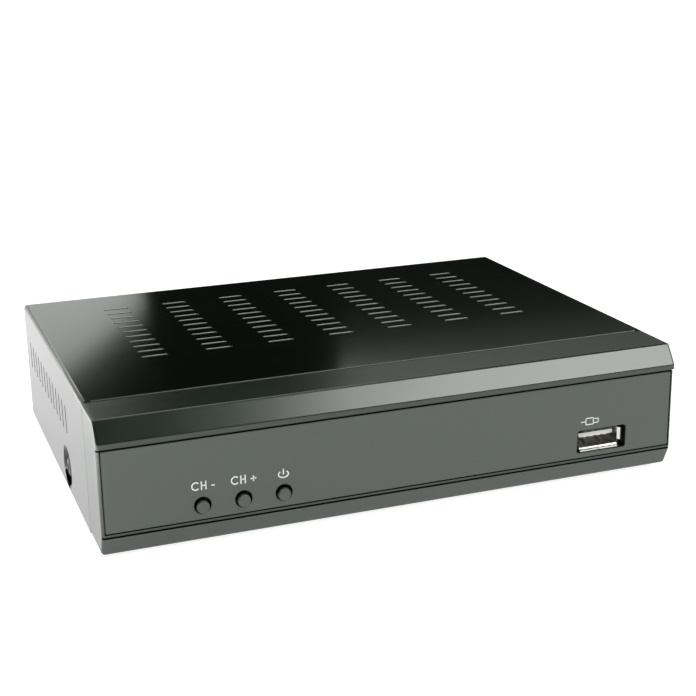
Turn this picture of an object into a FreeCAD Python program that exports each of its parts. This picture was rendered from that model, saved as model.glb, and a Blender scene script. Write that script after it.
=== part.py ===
import FreeCAD, Part
import math
import os

from FreeCAD import Vector

# Satellite television receiver: a steel cover on a steel base, with a moulded bezel at the front.
# Millimetres, +Z up, the front faces -Y. The origin is on the surface that the feet stand on,
# under the middle of the overall box.
# The functions below work in a casing frame: y = 0 is the front panel's face and z = 0 the
# underside of the casing. save() moves each piece from there to the part's frame.

# Casing
CASE_W = 168.0  # overall width
CASE_D = 122.6  # front panel's face to the cover's rear edge
CASE_H = 37.0  # underside to the top of the cover
SHEET = 0.8  # steel of the cover and the base
FIT = 0.15  # slip clearance between neighbouring shells
BEND_R = 1.2  # outside bend of the cover's long edges
REAR_LIP = 6.0  # height of the lip that the cover folds down over the back
SIDE_FLANGE = 14.0  # height of the base's folded sides
BACK_TOP_GAP = 0.5  # back plate's top edge to the cover

# Ventilation slots
VENT_LENGTH = 7.7
VENT_WIDTH = 1.1
VENT_COLUMNS = 7
VENT_COLUMN_PITCH = 19.0
VENT_ROWS = 11
VENT_ROW_PITCH = 5.5
VENT_REAR_GAP = 17.4  # last row of the top slots to the cover's rear edge
SIDE_VENT_HEIGHT = 8.2
SIDE_VENT_COUNT = 13
SIDE_VENT_REAR_GAP = 9.3  # last side slot to the cover's rear edge
SIDE_VENT_MIDDLE = 22.5  # height of the side slots' middle

# Screw dimples in the sides
DIMPLE_SETBACK = 33.5  # behind the seam
DIMPLE_Z = 6.7
DIMPLE_R = 6.5
DIMPLE_FLOOR_R = 3.9
DIMPLE_DEPTH = 1.9

# Bezel
BEZEL_D = 17.5  # panel's face to the seam with the cover
BEZEL_WALL = 2.0
BEZEL_FLOOR = 1.6
COVER_STEP = 0.2  # cover's top above the bezel's
HOOD_REACH = 0.7  # hood's front edge ahead of the panel
HOOD_TOP_Y = 3.0  # where the flat top breaks into the slope
HOOD_LOW_Z = 31.4  # foot of the slope
RIM_Z = 29.95  # underside of the hood
HOOD_R = 0.8
FACE_REACH = 0.1  # side rims and lower band ahead of the panel
BAND_TOP_Z = 5.4
BAND_SETBACK = 2.5  # how far the lower band leans back at its foot
BODY_R = 1.0
GROOVE_H = 0.55
GROOVE_D = 0.8
SHADOW_GAP_D = 1.1  # depth of the gap under the hood

# Front panel
PANEL_SIDE = 1.0  # casing's side to the panel's end
PANEL_TOP_Z = 29.2
PANEL_LOW_Z = 6.75
PANEL_T = 1.2
PANEL_GAP = 0.25
PANEL_R = 0.5
PANEL_EDGE_R = 0.2  # rounding of the panel's front edges
BACKER_T = 1.8  # bezel wall behind the panel

# Front keys
KEY_NAMES = ("channel_down", "channel_up", "standby")
KEY_INSET = 26.65  # first key to the casing's side
KEY_PITCH = 11.1
KEY_Z = 10.3
KEY_D = 3.5
KEY_HOLE_D = 4.6
KEY_HOLE_RAISE = 0.4  # hole's centre above the key's, so that the key hangs low in it
KEY_PROUD = 0.7  # key's face ahead of the panel
KEY_EDGE_R = 0.35
KEY_FLANGE_D = 7.6
KEY_FLANGE_T = 1.0
KEY_REST_GAP = 0.2  # flange to the bezel wall
KEY_TRAVEL = 0.3
KEY_TAIL_D = 3.0
KEY_TAIL_L = 1.4
STEM_D = 3.5
STEM_L = 2.0
STEM_BITE = 0.5  # stem's length inside the switch at rest
MOVING_CLEAR = 0.08  # between a moving piece and its bore, on the radius
SWITCH_W = 6.2
SWITCH_D = 3.8

# Boards
BOARD_Z = 5.8  # underside of both boards
BOARD_T = 1.6
BOARD_SIDE_GAP = 0.6  # main board's edge to the side screws
FRONT_BOARD_SIDE_GAP = 6.0  # front board's end to the bezel's wall
FRONT_BOARD_SETBACK = 2.5  # behind the bezel wall that carries the panel
FRONT_BOARD_D = 18.0
BOARD_TO_BOARD = 5.0
MAIN_BOARD_BACK_GAP = 1.0

# Bosses, standoffs and screws
BOSS_R = 3.0
BOSS_SETBACK = 7.5  # behind the front board's front edge
BOSS_INSET = 4.5  # from the front board's ends
BOSS_MIDDLE_X = 10.0
STANDOFF_AF = 5.5
STANDOFF_SPIGOT_R = 2.0
FRONT_SCREW_INSET = (4.5, 7.5)  # from the main board's sides and front edge
LEFT_SCREW_INSET = (10.5, 21.9)  # from the main board's left side and rear edge
RIGHT_SCREW_INSET = (6.5, 7.3)  # from the main board's right side and the tuner's can
SCREW_R = 1.5
SCREW_CLEAR = 0.25  # clearance hole, on the radius
THREAD_CLEAR = 0.02  # tapped hole, on the radius
HEAD_R = 2.75
HEAD_H = 1.7
BOARD_SCREW_L = 5.0
CASE_SCREW_L = 3.0
LUG_SCREW_L = 4.0
RECESS_LENGTH = 3.0
RECESS_WIDTH = 0.8
RECESS_DEPTH = 1.0
REAR_SCREW_INSET = 14.0  # from the casing's side
LUG_INSET = 22.0  # from the casing's side
LUG_W = 14.0
LUG_T = 3.4
LUG_REACH = 10.0  # lugs' length behind the seam
LUG_ROOT = 6.0  # lugs' length inside the bezel
TOP_LUG_INSET = 28.0  # outer lugs, from the casing's side
TOP_LUG_T = 2.4

# Feet
FOOT_H = 2.0
FOOT_R = 6.0
FOOT_TAPER = 0.6
FOOT_DIMPLE_R = 2.6
FOOT_DIMPLE_DEPTH = 0.9
FOOT_INSET_X = 16.0
FOOT_INSET_FRONT = 13.5  # behind the seam
FOOT_INSET_REAR = 15.0

# Data port in the front
PORT_INSET = 23.2  # from the casing's side
PORT_Z = 11.6
PORT_OPENING_W = 15.8
PORT_OPENING_H = 6.8
PORT_OPENING_R = 0.9
PORT_SHELL_SHIFT = 0.5  # sleeve's middle to the left of the window's
PORT_SHELL_W = 13.2
PORT_SHELL_H = 5.1
PORT_SHELL_T = 0.35
PORT_SHELL_L = 13.5
PORT_MOUTH_Y = 0.5
PORT_FLARE = 0.65
PORT_FLARE_L = 0.65
PORT_CORNER_LOW = (0.5, 1.4)  # the flared lips stop this far from the sleeve's lower corners, across and up
PORT_CORNER_HIGH = (0.8, 0.1)  # and this far from its upper ones
PORT_SEAM = 0.2  # butt joint in the middle of the sleeve's underside
PORT_SPRING_W = 2.2
PORT_SPRING_L = 6.0
PORT_SPRING_OUT = 3.15  # springs to the sleeve's middle
PORT_SPRING_START = 3.0  # springs' front end behind the mouth
PORT_SPRING_RISE = 0.6
PORT_TONGUE_W = 11.1
PORT_TONGUE_T = 1.7
PORT_TONGUE_DROP = 0.15  # tongue's top below the shell's inside
PORT_TONGUE_SETBACK = 2.2
PORT_PLUG_L = 3.0  # moulding that closes the shell's rear end
PORT_REAR_T = 1.6  # moulding behind the shell
PORT_CONTACTS = 4
PORT_CONTACT_PITCH = 2.25
PORT_CONTACT_W = 1.1
PORT_CONTACT_T = 0.25
PORT_CONTACT_L = 7.4

# Sensor and lamp behind the panel
SENSOR_X = 28.0
SENSOR_W = 7.0
SENSOR_H = 8.0
SENSOR_D = 4.6
SENSOR_LENS_R = 2.4
SENSOR_LENS_DROP = 1.6  # lens below the block's top
SENSOR_GAP = 1.0  # lens to the bezel wall
LAMP_X = -8.0
LAMP_R = 1.5
LAMP_L = 4.6
LAMP_BASE_D = 2.2
LAMP_GAP = 0.2  # tip to the bezel wall
LAMP_UP = 3.0  # lamp's axis above the keys'

# Ribbon between the boards
RIBBON_X = 40.0
RIBBON_W = 16.0
RIBBON_T = 0.9
RIBBON_SEAT = 3.0  # ribbon's ends above the boards
HEADER_W = 20.0
HEADER_D = 4.8
HEADER_H = 6.0
HEADER_EDGE_GAP = 2.6  # front header to its board's rear edge
HEADER_MAIN_SETBACK = 8.0  # rear header's middle behind the main board's front edge

# Sockets in the back: a row from the power inlet to the tuner, evenly spaced
ROW_END_GAP = 1.0  # ends of the row to the main board's sides
BACK_NOSE = 0.5  # flat sockets' face outside the back plate
CUT_CLEAR = 0.2  # sockets' clearance in the back plate
TUNER_W = 36.0
TUNER_D = 34.0
TUNER_H = 14.0
TUNER_SHEET = 0.5
TUNER_GAP = 1.5  # can to the back plate
TUNER_SKIRT = 2.0  # lid's edges folded down inside the can
TUNER_RIBS = 3
TUNER_RIB_W = 2.0
DISH_INPUTS = ("dish_input", "dish_output")
DISH_PITCH = 18.0
DISH_AXIS_H = 8.0  # above the board
DISH_THREAD_R = 4.75
DISH_BORE_R = 3.3
DISH_FLANGE_R = 6.0
DISH_REACH = 9.5  # tip behind the cover's rear edge
DISH_GROOVE_R = 4.45  # relief groove beside the nut, where the thread runs out
DISH_GROOVE_L = 0.5
DISH_INSULATOR_SETBACK = 0.7
DISH_TAIL = 2.0
DISH_PIN_R = 1.1
DISH_PIN_BORE_R = 0.55
NUT_AF = 11.1
NUT_T = 2.4
WASHER_R = 6.6
WASHER_T = 0.6

AUDIO_W = 10.0
AUDIO_H = 12.0
AUDIO_D = 10.0
AUDIO_AXIS_H = 6.5
AUDIO_COLLAR_R = 5.2
AUDIO_COLLAR_REACH = 1.2
AUDIO_RING_R = 4.15
AUDIO_RING_T = 0.55
AUDIO_ROOT_R = 3.95  # sleeve's root in the collar, behind a shoulder
AUDIO_ROOT_DEPTH = 6.0
AUDIO_SHOULDER = 0.4  # shoulder to the collar
AUDIO_REACH = 9.0
AUDIO_CORE_SETBACK = 1.0
AUDIO_PIN_R = 1.9
AUDIO_PIN_BORE_R = 1.6

AV_W = 56.0
AV_H = 20.5
AV_D = 14.0
AV_NOSE_W = 47.5
AV_NOSE_H = 18.0
AV_CAVITY_W = 45.0
AV_CAVITY_H = 15.0
AV_CAVITY_CUT = 5.0  # slanted corner of the cavity
AV_CAVITY_D = 10.0
AV_GROOVE = 2.6
AV_AXIS_H = 10.6
AV_SLOT_COUNT = 10
AV_SLOT_PITCH = 3.8
AV_SLOT_W = 1.2
AV_SLOT_H = 3.4
AV_SLOT_D = 7.0
AV_SLOT_ROW = 2.5
AV_SCREW_GAP = 0.4  # screw heads to the socket's nose
AV_HEAD_R = 2.1
AV_SCREW_R = 1.2
AV_SCREW_L = 8.0

VIDEO_W = 15.0
VIDEO_H = 6.0
VIDEO_L = 11.5
VIDEO_T = 0.4
VIDEO_CORNER = 1.9  # bevelled lower corners
VIDEO_TONGUE_W = 11.6
VIDEO_TONGUE_T = 1.3
VIDEO_TONGUE_UP = 0.4
VIDEO_TONGUE_SETBACK = 0.9
VIDEO_PLUG_L = 3.0
VIDEO_CONTACTS_OVER = 10
VIDEO_CONTACTS_UNDER = 9
VIDEO_CONTACT_PITCH = 1.0
VIDEO_CONTACT_W = 0.45
VIDEO_CONTACT_T = 0.12
VIDEO_CONTACT_L = 6.5

ROCKER_Z = 17.0
ROCKER_BEZEL_W = 10.5
ROCKER_BEZEL_H = 15.0
ROCKER_BEZEL_T = 1.6
ROCKER_BODY_W = 8.6
ROCKER_BODY_H = 13.2
ROCKER_BODY_D = 11.0
ROCKER_OPENING_W = 7.0
ROCKER_OPENING_H = 11.8
ROCKER_SIDE_CLEAR = 0.2
ROCKER_HALF_H = 5.2
ROCKER_RISE = 0.9  # paddle's tips above its middle
ROCKER_TILT = 10.0  # degrees either side of level
ROCKER_DEPTH = 3.0  # pivot behind the frame's face
ROCKER_TAIL_D = 2.4  # paddle's tail behind the pivot
ROCKER_TAIL_H = 2.4
ROCKER_PIN_R = 0.9
ROCKER_PIN_BITE = 0.4  # pins' length inside the housing's cheeks
ROCKER_FLOOR = 1.6
ROCKER_R = 1.0

POWER_W = 9.0
POWER_H = 10.8
POWER_D = 14.0
POWER_AXIS_H = 6.5
POWER_NOSE_R = 4.2
POWER_BORE_R = 3.1
POWER_BORE_D = 9.5
POWER_PIN_R = 1.0
POWER_PIN_SETBACK = 1.0

# Parts on the main board. Places are (x, y) pairs. LEFT and RIGHT ones give the distance in from that
# side of the board, MIDDLE ones the distance from the casing's middle, and all the distance back
# from the board's front edge.
CHIP_W = 23.0
CHIP_H = 1.8
PAD_T = 0.5
CHIP_MIDDLE = (2.0, 33.5)
SINK_W = 30.0
SINK_BASE = 2.4
SINK_H = 10.0
SINK_FINS = 9
SINK_FIN_T = 1.1
MEMORY_SIZE = (12.5, 8.4, 1.2)
MEMORY_MIDDLE = ((30.0, 25.5), (30.0, 41.5))
FLASH_SIZE = (12.0, 18.4, 1.2)
FLASH_MIDDLE = ((-28.0, 29.5),)
CRYSTAL_SIZE = (11.0, 4.6, 3.6)
CRYSTAL_MIDDLE = ((2.0, 14.4), (26.0, 57.5))
REGULATOR_SIZE = (5.0, 4.2, 1.6)
REGULATOR_LEFT = ((15.5, 19.5), (15.5, 29.5))
REGULATOR_RIGHT = ((26.5, 27.5), (26.5, 37.5))
TUNER_CHIP_SIZE = (7.0, 7.0, 1.0)
COIL_W = 7.3
COIL_H = 4.2
COIL_WAIST_R = 2.6
COIL_FLANGE_H = 0.9
COIL_LEFT = ((27.5, 19.5), (27.5, 30.5))
COIL_RIGHT = ((15.5, 31.5),)
SMALL_CAN_R = 4.0
SMALL_CAN_H = 11.5
SMALL_CAN_RIGHT = ((15.5, 19.5), (26.5, 17.5))
SMALL_CAN_COUNT = 4  # in a row on the left
SMALL_CAN_INSET = (5.0, 35.8)  # the row's first can, from the board's left side and rear edge
SMALL_CAN_PITCH = 10.5
LARGE_CAN_R = 5.0
LARGE_CAN_H = 16.0
LARGE_CAN_LEFT = ((5.5, 19.5), (5.5, 31.5))
CAN_BEAD_Z = 1.6
CAN_BEAD = 0.35
SMALL_PART_SIZE = (2.0, 1.25, 0.7)
SMALL_PART_PITCH = 4.5
SMALL_PART_COUNT = 10
SMALL_PART_X = -32.0
SMALL_PART_FRONT = (10.5,)  # rows behind the board's front edge
SMALL_PART_REAR = (29.0, 25.0)  # rows ahead of the board's rear edge

HEX_SIDES = 6
FULL_TURN = 360
TINY = 1e-6
OVER = 1.0  # how far a cutter runs past what it cuts

# Worked out from the sizes above
HALF_W = CASE_W / 2
INNER_HALF_W = HALF_W - SHEET - FIT  # outside of the base's folded sides
BASE_FRONT = BEZEL_D + FIT
BEZEL_TOP_Z = CASE_H - COVER_STEP
BACK_OUT = CASE_D - SHEET - FIT  # outer face of the back plate
BACK_IN = BACK_OUT - SHEET
BACKER_Y = PANEL_T + BACKER_T
BOARD_TOP = BOARD_Z + BOARD_T
FRONT_BOARD_HALF = HALF_W - BEZEL_WALL - FRONT_BOARD_SIDE_GAP
FRONT_BOARD_Y = (BACKER_Y + FRONT_BOARD_SETBACK, BACKER_Y + FRONT_BOARD_SETBACK + FRONT_BOARD_D)
MAIN_BOARD_HALF = HALF_W - DIMPLE_DEPTH - CASE_SCREW_L - BOARD_SIDE_GAP
MAIN_BOARD_Y = (FRONT_BOARD_Y[1] + BOARD_TO_BOARD, BACK_IN - MAIN_BOARD_BACK_GAP)
DIMPLE_Y = BEZEL_D + DIMPLE_SETBACK
BOSS_Y = FRONT_BOARD_Y[0] + BOSS_SETBACK
BOSS_X = (BOSS_INSET - FRONT_BOARD_HALF, BOSS_MIDDLE_X, FRONT_BOARD_HALF - BOSS_INSET)
KEY_FIRST_X = KEY_INSET - HALF_W
KEY_FLANGE_Y = BACKER_Y + KEY_REST_GAP
KEY_TAIL_Y = KEY_FLANGE_Y + KEY_FLANGE_T
STEM_Y = KEY_TAIL_Y + KEY_TAIL_L
SWITCH_Y = STEM_Y + STEM_L - STEM_BITE
PORT_X = HALF_W - PORT_INSET
PORT_SHELL_X = PORT_X - PORT_SHELL_SHIFT
PORT_INSIDE_H = PORT_SHELL_H - 2 * PORT_SHELL_T
SENSOR_FRONT = BACKER_Y + SENSOR_GAP + SENSOR_LENS_R
SENSOR_Z = BOARD_TOP + SENSOR_H - SENSOR_LENS_R - SENSOR_LENS_DROP
LAMP_Z = KEY_Z + LAMP_UP
LAMP_TIP_Y = BACKER_Y + LAMP_GAP
HEADER_Y = (FRONT_BOARD_Y[1] - HEADER_EDGE_GAP - HEADER_D / 2, MAIN_BOARD_Y[0] + HEADER_MAIN_SETBACK)
TUNER_BACK = BACK_IN - TUNER_GAP
DISH_TIP = CASE_D + DISH_REACH
DISH_Z = BOARD_TOP + DISH_AXIS_H
NUT_Y = (BACK_OUT + WASHER_T, BACK_OUT + WASHER_T + NUT_T)
AUDIO_Z = BOARD_TOP + AUDIO_AXIS_H
AUDIO_SLEEVE_Y = (BACK_OUT + AUDIO_COLLAR_REACH + AUDIO_SHOULDER, BACK_OUT + AUDIO_REACH)
AV_Z = BOARD_TOP + AV_AXIS_H
POWER_Z = BOARD_TOP + POWER_AXIS_H
ROCKER_FACE_Y = BACK_OUT + ROCKER_BEZEL_T
ROCKER_AXIS_Y = ROCKER_FACE_Y - ROCKER_DEPTH
AV_SCREW_OUT = AV_NOSE_W / 2 + AV_SCREW_GAP + AV_HEAD_R  # screws to the socket's middle
SOCKET_WIDTHS = (POWER_W, ROCKER_BEZEL_W, VIDEO_W, AV_W, AUDIO_W, TUNER_W)
SOCKET_GAP = (2 * (MAIN_BOARD_HALF - ROW_END_GAP) - sum(SOCKET_WIDTHS)) / (len(SOCKET_WIDTHS) - 1)
SOCKET_X = [
    ROW_END_GAP - MAIN_BOARD_HALF + sum(SOCKET_WIDTHS[:step]) + step * SOCKET_GAP + width / 2
    for step, width in enumerate(SOCKET_WIDTHS)
]
POWER_X, ROCKER_X, VIDEO_X, AV_X, AUDIO_X, TUNER_X = SOCKET_X
PANEL_W = CASE_W - 2 * PANEL_SIDE
RIM_SPAN_Z = (PANEL_LOW_Z - PANEL_GAP, RIM_Z)
FRONT_REACH = max(HOOD_REACH, KEY_PROUD)
OVERALL_D = FRONT_REACH + DISH_TIP
SHIFT = Vector(0, FRONT_REACH - OVERALL_D / 2, FOOT_H)

AXES = {"x": Vector(1, 0, 0), "y": Vector(0, 1, 0), "z": Vector(0, 0, 1)}


def about(middle, size):
    """The (low, high) pair of a span of that size about its middle."""
    return (middle - size / 2, middle + size / 2)


def block(x, y, z):
    """A box between three (low, high) pairs."""
    return Part.makeBox(x[1] - x[0], y[1] - y[0], z[1] - z[0], Vector(x[0], y[0], z[0]))


def point(axis, centre, along):
    """The point at a distance along an axis; centre holds its other two coordinates, in x, y, z order."""
    first, second = centre
    places = {"x": (along, first, second), "y": (first, along, second), "z": (first, second, along)}
    return Vector(*places[axis])


def rod(axis, centre, radius, span):
    """A cylinder along an axis, between the two ends in span."""
    return Part.makeCylinder(radius, span[1] - span[0], point(axis, centre, span[0]), AXES[axis])


def pipe(axis, centre, outer, inner, span):
    """A straight tube."""
    return rod(axis, centre, outer, span).cut(rod(axis, centre, inner, (span[0] - OVER, span[1] + OVER)))


def turned(axis, centre, profile):
    """A solid of revolution about an axis. profile is a closed outline of (radius, distance along) pairs."""
    corners = [Vector(radius, 0, along) for radius, along in profile]
    face = Part.Face(Part.makePolygon(corners + corners[:1]))
    solid = face.revolve(Vector(0, 0, 0), AXES["z"], FULL_TURN)
    solid.Placement = FreeCAD.Placement(point(axis, centre, 0), FreeCAD.Rotation(AXES["z"], AXES[axis]))
    return solid


def prism(outline, x):
    """A solid between two x planes, whose closed outline is given as (y, z) corners."""
    corners = [Vector(x[0], y, z) for y, z in outline]
    return Part.Face(Part.makePolygon(corners + corners[:1])).extrude(Vector(x[1] - x[0], 0, 0))


def plate(outline, y):
    """A solid between two y planes, whose closed outline is given as (x, z) corners."""
    corners = [Vector(x, y[0], z) for x, z in outline]
    return Part.Face(Part.makePolygon(corners + corners[:1])).extrude(Vector(0, y[1] - y[0], 0))


def edges_along(shape, axis):
    """The straight edges that run along one axis."""
    index = "xyz".index(axis)
    found = []
    for edge in shape.Edges:
        box = edge.BoundBox
        lengths = [box.XLength, box.YLength, box.ZLength]
        length = lengths.pop(index)
        if length > TINY and max(lengths) < TINY:
            found.append(edge)
    return found


def slab(axis, x, y, z, radius):
    """A box whose four edges along one axis are rounded."""
    box = block(x, y, z)
    return box.makeFillet(radius, edges_along(box, axis))


def fused(shapes):
    """One solid from shapes that touch."""
    whole = shapes[0]
    return whole.multiFuse(shapes[1:]).removeSplitter() if len(shapes) > 1 else whole


def slot(length, width, axis, centre, span):
    """A round-ended slot cutter along an axis. Its length lies along z for x, and along x for z."""
    half = (length - width) / 2
    ends = []
    for side in (-half, half):
        middle = (centre[0], centre[1] + side) if axis == "x" else (centre[0] + side, centre[1])
        ends.append(rod(axis, middle, width / 2, span))
    if axis == "x":
        bar = block(span, about(centre[0], width), about(centre[1], 2 * half))
    else:
        bar = block(about(centre[0], 2 * half), about(centre[1], width), span)
    return fused([bar] + ends)


def row(shape, axis, pitch, count):
    """Copies of a shape at an even pitch along an axis, the first in its own place."""
    return [shape.translated(AXES[axis] * (pitch * step)) for step in range(count)]


def mirrored(shape):
    """A shape and its mirror image across the middle plane."""
    return [shape, shape.mirror(Vector(0, 0, 0), AXES["x"])]


def chips(places, size):
    """Flat boxes on the main board."""
    return [block(about(x, size[0]), about(y, size[1]), (BOARD_TOP, BOARD_TOP + size[2])) for x, y in places]


def board_places(left=(), middle=(), right=()):
    """(x, y) of places given from the main board's left side, the middle or its right side."""
    front = MAIN_BOARD_Y[0]
    places = [(x - MAIN_BOARD_HALF, front + y) for x, y in left]
    places += [(x, front + y) for x, y in middle]
    return places + [(MAIN_BOARD_HALF - x, front + y) for x, y in right]


def screw(axis, centre, seat, direction, length, shank_r=SCREW_R, head_r=HEAD_R):
    """A pan-head screw with a cross recess. The head sits on seat and the shank runs along direction."""
    head = (seat - HEAD_H, seat) if direction > 0 else (seat, seat + HEAD_H)
    shank = (seat, seat + length) if direction > 0 else (seat - length, seat)
    cap = rod(axis, centre, head_r, head)
    outer = head[0] if direction > 0 else head[1]
    rim = [edge for edge in cap.Edges if abs(edge.CenterOfMass.dot(AXES[axis]) - outer) < TINY]
    solid = fused([cap.makeFillet(HEAD_H / 2, rim), rod(axis, centre, shank_r, shank)])
    depth = (outer - OVER, outer + RECESS_DEPTH) if direction > 0 else (outer - RECESS_DEPTH, outer + OVER)
    scale = head_r / HEAD_R
    middle = point(axis, centre, 0)
    cuts = []
    others = [name for name in "xyz" if name != axis]
    for long_axis in others:
        spans = {axis: depth}
        for name in others:
            size = RECESS_LENGTH * scale if name == long_axis else RECESS_WIDTH * scale
            spans[name] = about(middle.dot(AXES[name]), size)
        cuts.append(block(spans["x"], spans["y"], spans["z"]))
    return solid.cut(fused(cuts))


def dimple_hollow(outside):
    """The hollow of a screw dimple in a side whose outer face is at x = outside."""
    slope = (DIMPLE_R - DIMPLE_FLOOR_R) / DIMPLE_DEPTH
    profile = [
        (0, outside + OVER),
        (DIMPLE_R + slope * OVER, outside + OVER),
        (DIMPLE_FLOOR_R, outside - DIMPLE_DEPTH),
        (0, outside - DIMPLE_DEPTH),
    ]
    return turned("x", (DIMPLE_Y, DIMPLE_Z), profile)


def dimple_back(outside):
    """The metal that a screw dimple pushes inwards, one sheet behind its hollow."""
    profile = [
        (0, outside - SHEET / 2),
        (DIMPLE_R, outside - SHEET / 2),
        (DIMPLE_R, outside - SHEET),
        (DIMPLE_FLOOR_R, outside - SHEET - DIMPLE_DEPTH),
        (0, outside - SHEET - DIMPLE_DEPTH),
    ]
    return turned("x", (DIMPLE_Y, DIMPLE_Z), profile)


def dimpled(shell, outside, hole_r):
    """A shell whose two sides, at plus and minus outside, get the screw dimple and its hole."""
    shell = fused([shell] + mirrored(dimple_back(outside)))
    shell = shell.cut(Part.makeCompound(mirrored(dimple_hollow(outside))))
    through = (outside - SHEET - DIMPLE_DEPTH - OVER, outside + OVER)
    return shell.cut(Part.makeCompound(mirrored(rod("x", (DIMPLE_Y, DIMPLE_Z), hole_r, through))))


def top_vents(z):
    """Cutters for the rows and columns of slots in the top."""
    first_x = -VENT_COLUMN_PITCH * (VENT_COLUMNS - 1) / 2
    first_y = CASE_D - VENT_REAR_GAP - VENT_ROW_PITCH * (VENT_ROWS - 1)
    first = slot(VENT_LENGTH, VENT_WIDTH, "z", (first_x, first_y), z)
    columns = row(first, "x", VENT_COLUMN_PITCH, VENT_COLUMNS)
    return [cutter for column in columns for cutter in row(column, "y", VENT_ROW_PITCH, VENT_ROWS)]


def side_vents():
    """Cutters for the upright slots, through both sides."""
    reach = (-HALF_W - OVER, HALF_W + OVER)
    first_y = CASE_D - SIDE_VENT_REAR_GAP - VENT_ROW_PITCH * (SIDE_VENT_COUNT - 1)
    first = slot(SIDE_VENT_HEIGHT, VENT_WIDTH, "x", (first_y, SIDE_VENT_MIDDLE), reach)
    return row(first, "y", VENT_ROW_PITCH, SIDE_VENT_COUNT)


def top_cover():
    """Folded steel cover: the top, both sides and a lip over the back."""
    outer = block((-HALF_W, HALF_W), (BASE_FRONT, CASE_D), (0, CASE_H))
    top_edges = [edge for edge in edges_along(outer, "y") if edge.CenterOfMass.z > CASE_H - TINY]
    outer = outer.makeFillet(BEND_R, top_edges)
    half = HALF_W - SHEET
    inner = block((-half, half), (BASE_FRONT - OVER, CASE_D - SHEET), (-OVER, CASE_H - SHEET))
    inner_edges = [edge for edge in edges_along(inner, "y") if edge.CenterOfMass.z > CASE_H - SHEET - TINY]
    inner = inner.makeFillet(BEND_R - SHEET, inner_edges)
    doorway = block((-half, half), (CASE_D - SHEET - OVER, CASE_D + OVER), (-OVER, CASE_H - REAR_LIP))
    shell = outer.cut(inner).cut(doorway)
    shell = shell.cut(Part.makeCompound(top_vents((CASE_H - SHEET - OVER, CASE_H + OVER)) + side_vents()))
    lip_holes = mirrored(rod("y", rear_screw_place(), SCREW_R + SCREW_CLEAR, (BACK_OUT, CASE_D + OVER)))
    shell = shell.cut(Part.makeCompound(lip_holes))
    return dimpled(shell, HALF_W, SCREW_R + SCREW_CLEAR)


def rear_screw_place():
    """(x, z) of the screw through the cover's rear lip on the +x side."""
    return (HALF_W - REAR_SCREW_INSET, CASE_H - SHEET - (REAR_LIP - SHEET) / 2)


def lug_place():
    """(x, y) of the screw through the base into the bezel's lug on the +x side."""
    return (HALF_W - LUG_INSET, BEZEL_D + LUG_REACH / 2)


def standoff_places():
    """(x, y) of the screws that hold the main board: two at the front, one behind them on either side."""
    side, front = FRONT_SCREW_INSET
    places = [(sign * (MAIN_BOARD_HALF - side), MAIN_BOARD_Y[0] + front) for sign in (-1, 1)]
    side, rear = LEFT_SCREW_INSET
    places.append((side - MAIN_BOARD_HALF, MAIN_BOARD_Y[1] - rear))
    side, ahead = RIGHT_SCREW_INSET
    places.append((MAIN_BOARD_HALF - side, TUNER_BACK - TUNER_D - ahead))
    return places


def foot_places():
    """(x, y) of the four feet."""
    x = HALF_W - FOOT_INSET_X
    return [(side * x, y) for side in (-1, 1) for y in (BEZEL_D + FOOT_INSET_FRONT, CASE_D - FOOT_INSET_REAR)]


def base_chassis():
    """Folded steel base: the floor, low sides and the back plate with the sockets' cut-outs."""
    span_x = (-INNER_HALF_W, INNER_HALF_W)
    floor = block(span_x, (BASE_FRONT, BACK_OUT), (0, SHEET))
    back = block(span_x, (BACK_IN, BACK_OUT), (0, CASE_H - SHEET - BACK_TOP_GAP))
    side_x = (INNER_HALF_W - SHEET, INNER_HALF_W)
    side = block(side_x, (BASE_FRONT, BACK_OUT), (0, SIDE_FLANGE))
    tray = dimpled(fused([floor, back] + mirrored(side)), INNER_HALF_W, SCREW_R + THREAD_CLEAR)
    below = (-OVER, SHEET + OVER)
    holes = [rod("z", place, STANDOFF_SPIGOT_R, below) for place in standoff_places()]
    holes += mirrored(rod("z", lug_place(), SCREW_R + SCREW_CLEAR, below))
    holes += mirrored(rod("y", rear_screw_place(), SCREW_R + THREAD_CLEAR, (BACK_IN - OVER, CASE_D)))
    return tray.cut(Part.makeCompound(holes + socket_cutouts()))


def socket_cutouts():
    """Cutters for the sockets' openings in the back plate."""
    through = (BACK_IN - OVER, BACK_OUT + OVER)
    cuts = [rod("y", (x, DISH_Z), DISH_THREAD_R + CUT_CLEAR, through) for x in dish_places()]
    cuts.append(rod("y", (AUDIO_X, AUDIO_Z), AUDIO_COLLAR_R + CUT_CLEAR, through))
    cuts.append(rod("y", (POWER_X, POWER_Z), POWER_NOSE_R + CUT_CLEAR, through))
    nose = (AV_NOSE_W + 2 * CUT_CLEAR, AV_NOSE_H + 2 * CUT_CLEAR)
    cuts.append(block(about(AV_X, nose[0]), through, about(AV_Z, nose[1])))
    for side in (-1, 1):
        place = (AV_X + side * AV_SCREW_OUT, AV_Z)
        cuts.append(rod("y", place, AV_SCREW_R + CUT_CLEAR, through))
    cuts.append(plate(video_outline(CUT_CLEAR), through))
    body = (ROCKER_BODY_W + 2 * CUT_CLEAR, ROCKER_BODY_H + 2 * CUT_CLEAR)
    cuts.append(block(about(ROCKER_X, body[0]), through, about(ROCKER_Z, body[1])))
    return cuts


def dish_places():
    """x of the two aerial sockets, the input first."""
    return [TUNER_X + DISH_PITCH / 2, TUNER_X - DISH_PITCH / 2]


def key_places():
    """x of the three front keys, from the left."""
    return [KEY_FIRST_X + KEY_PITCH * step for step in range(len(KEY_NAMES))]


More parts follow.
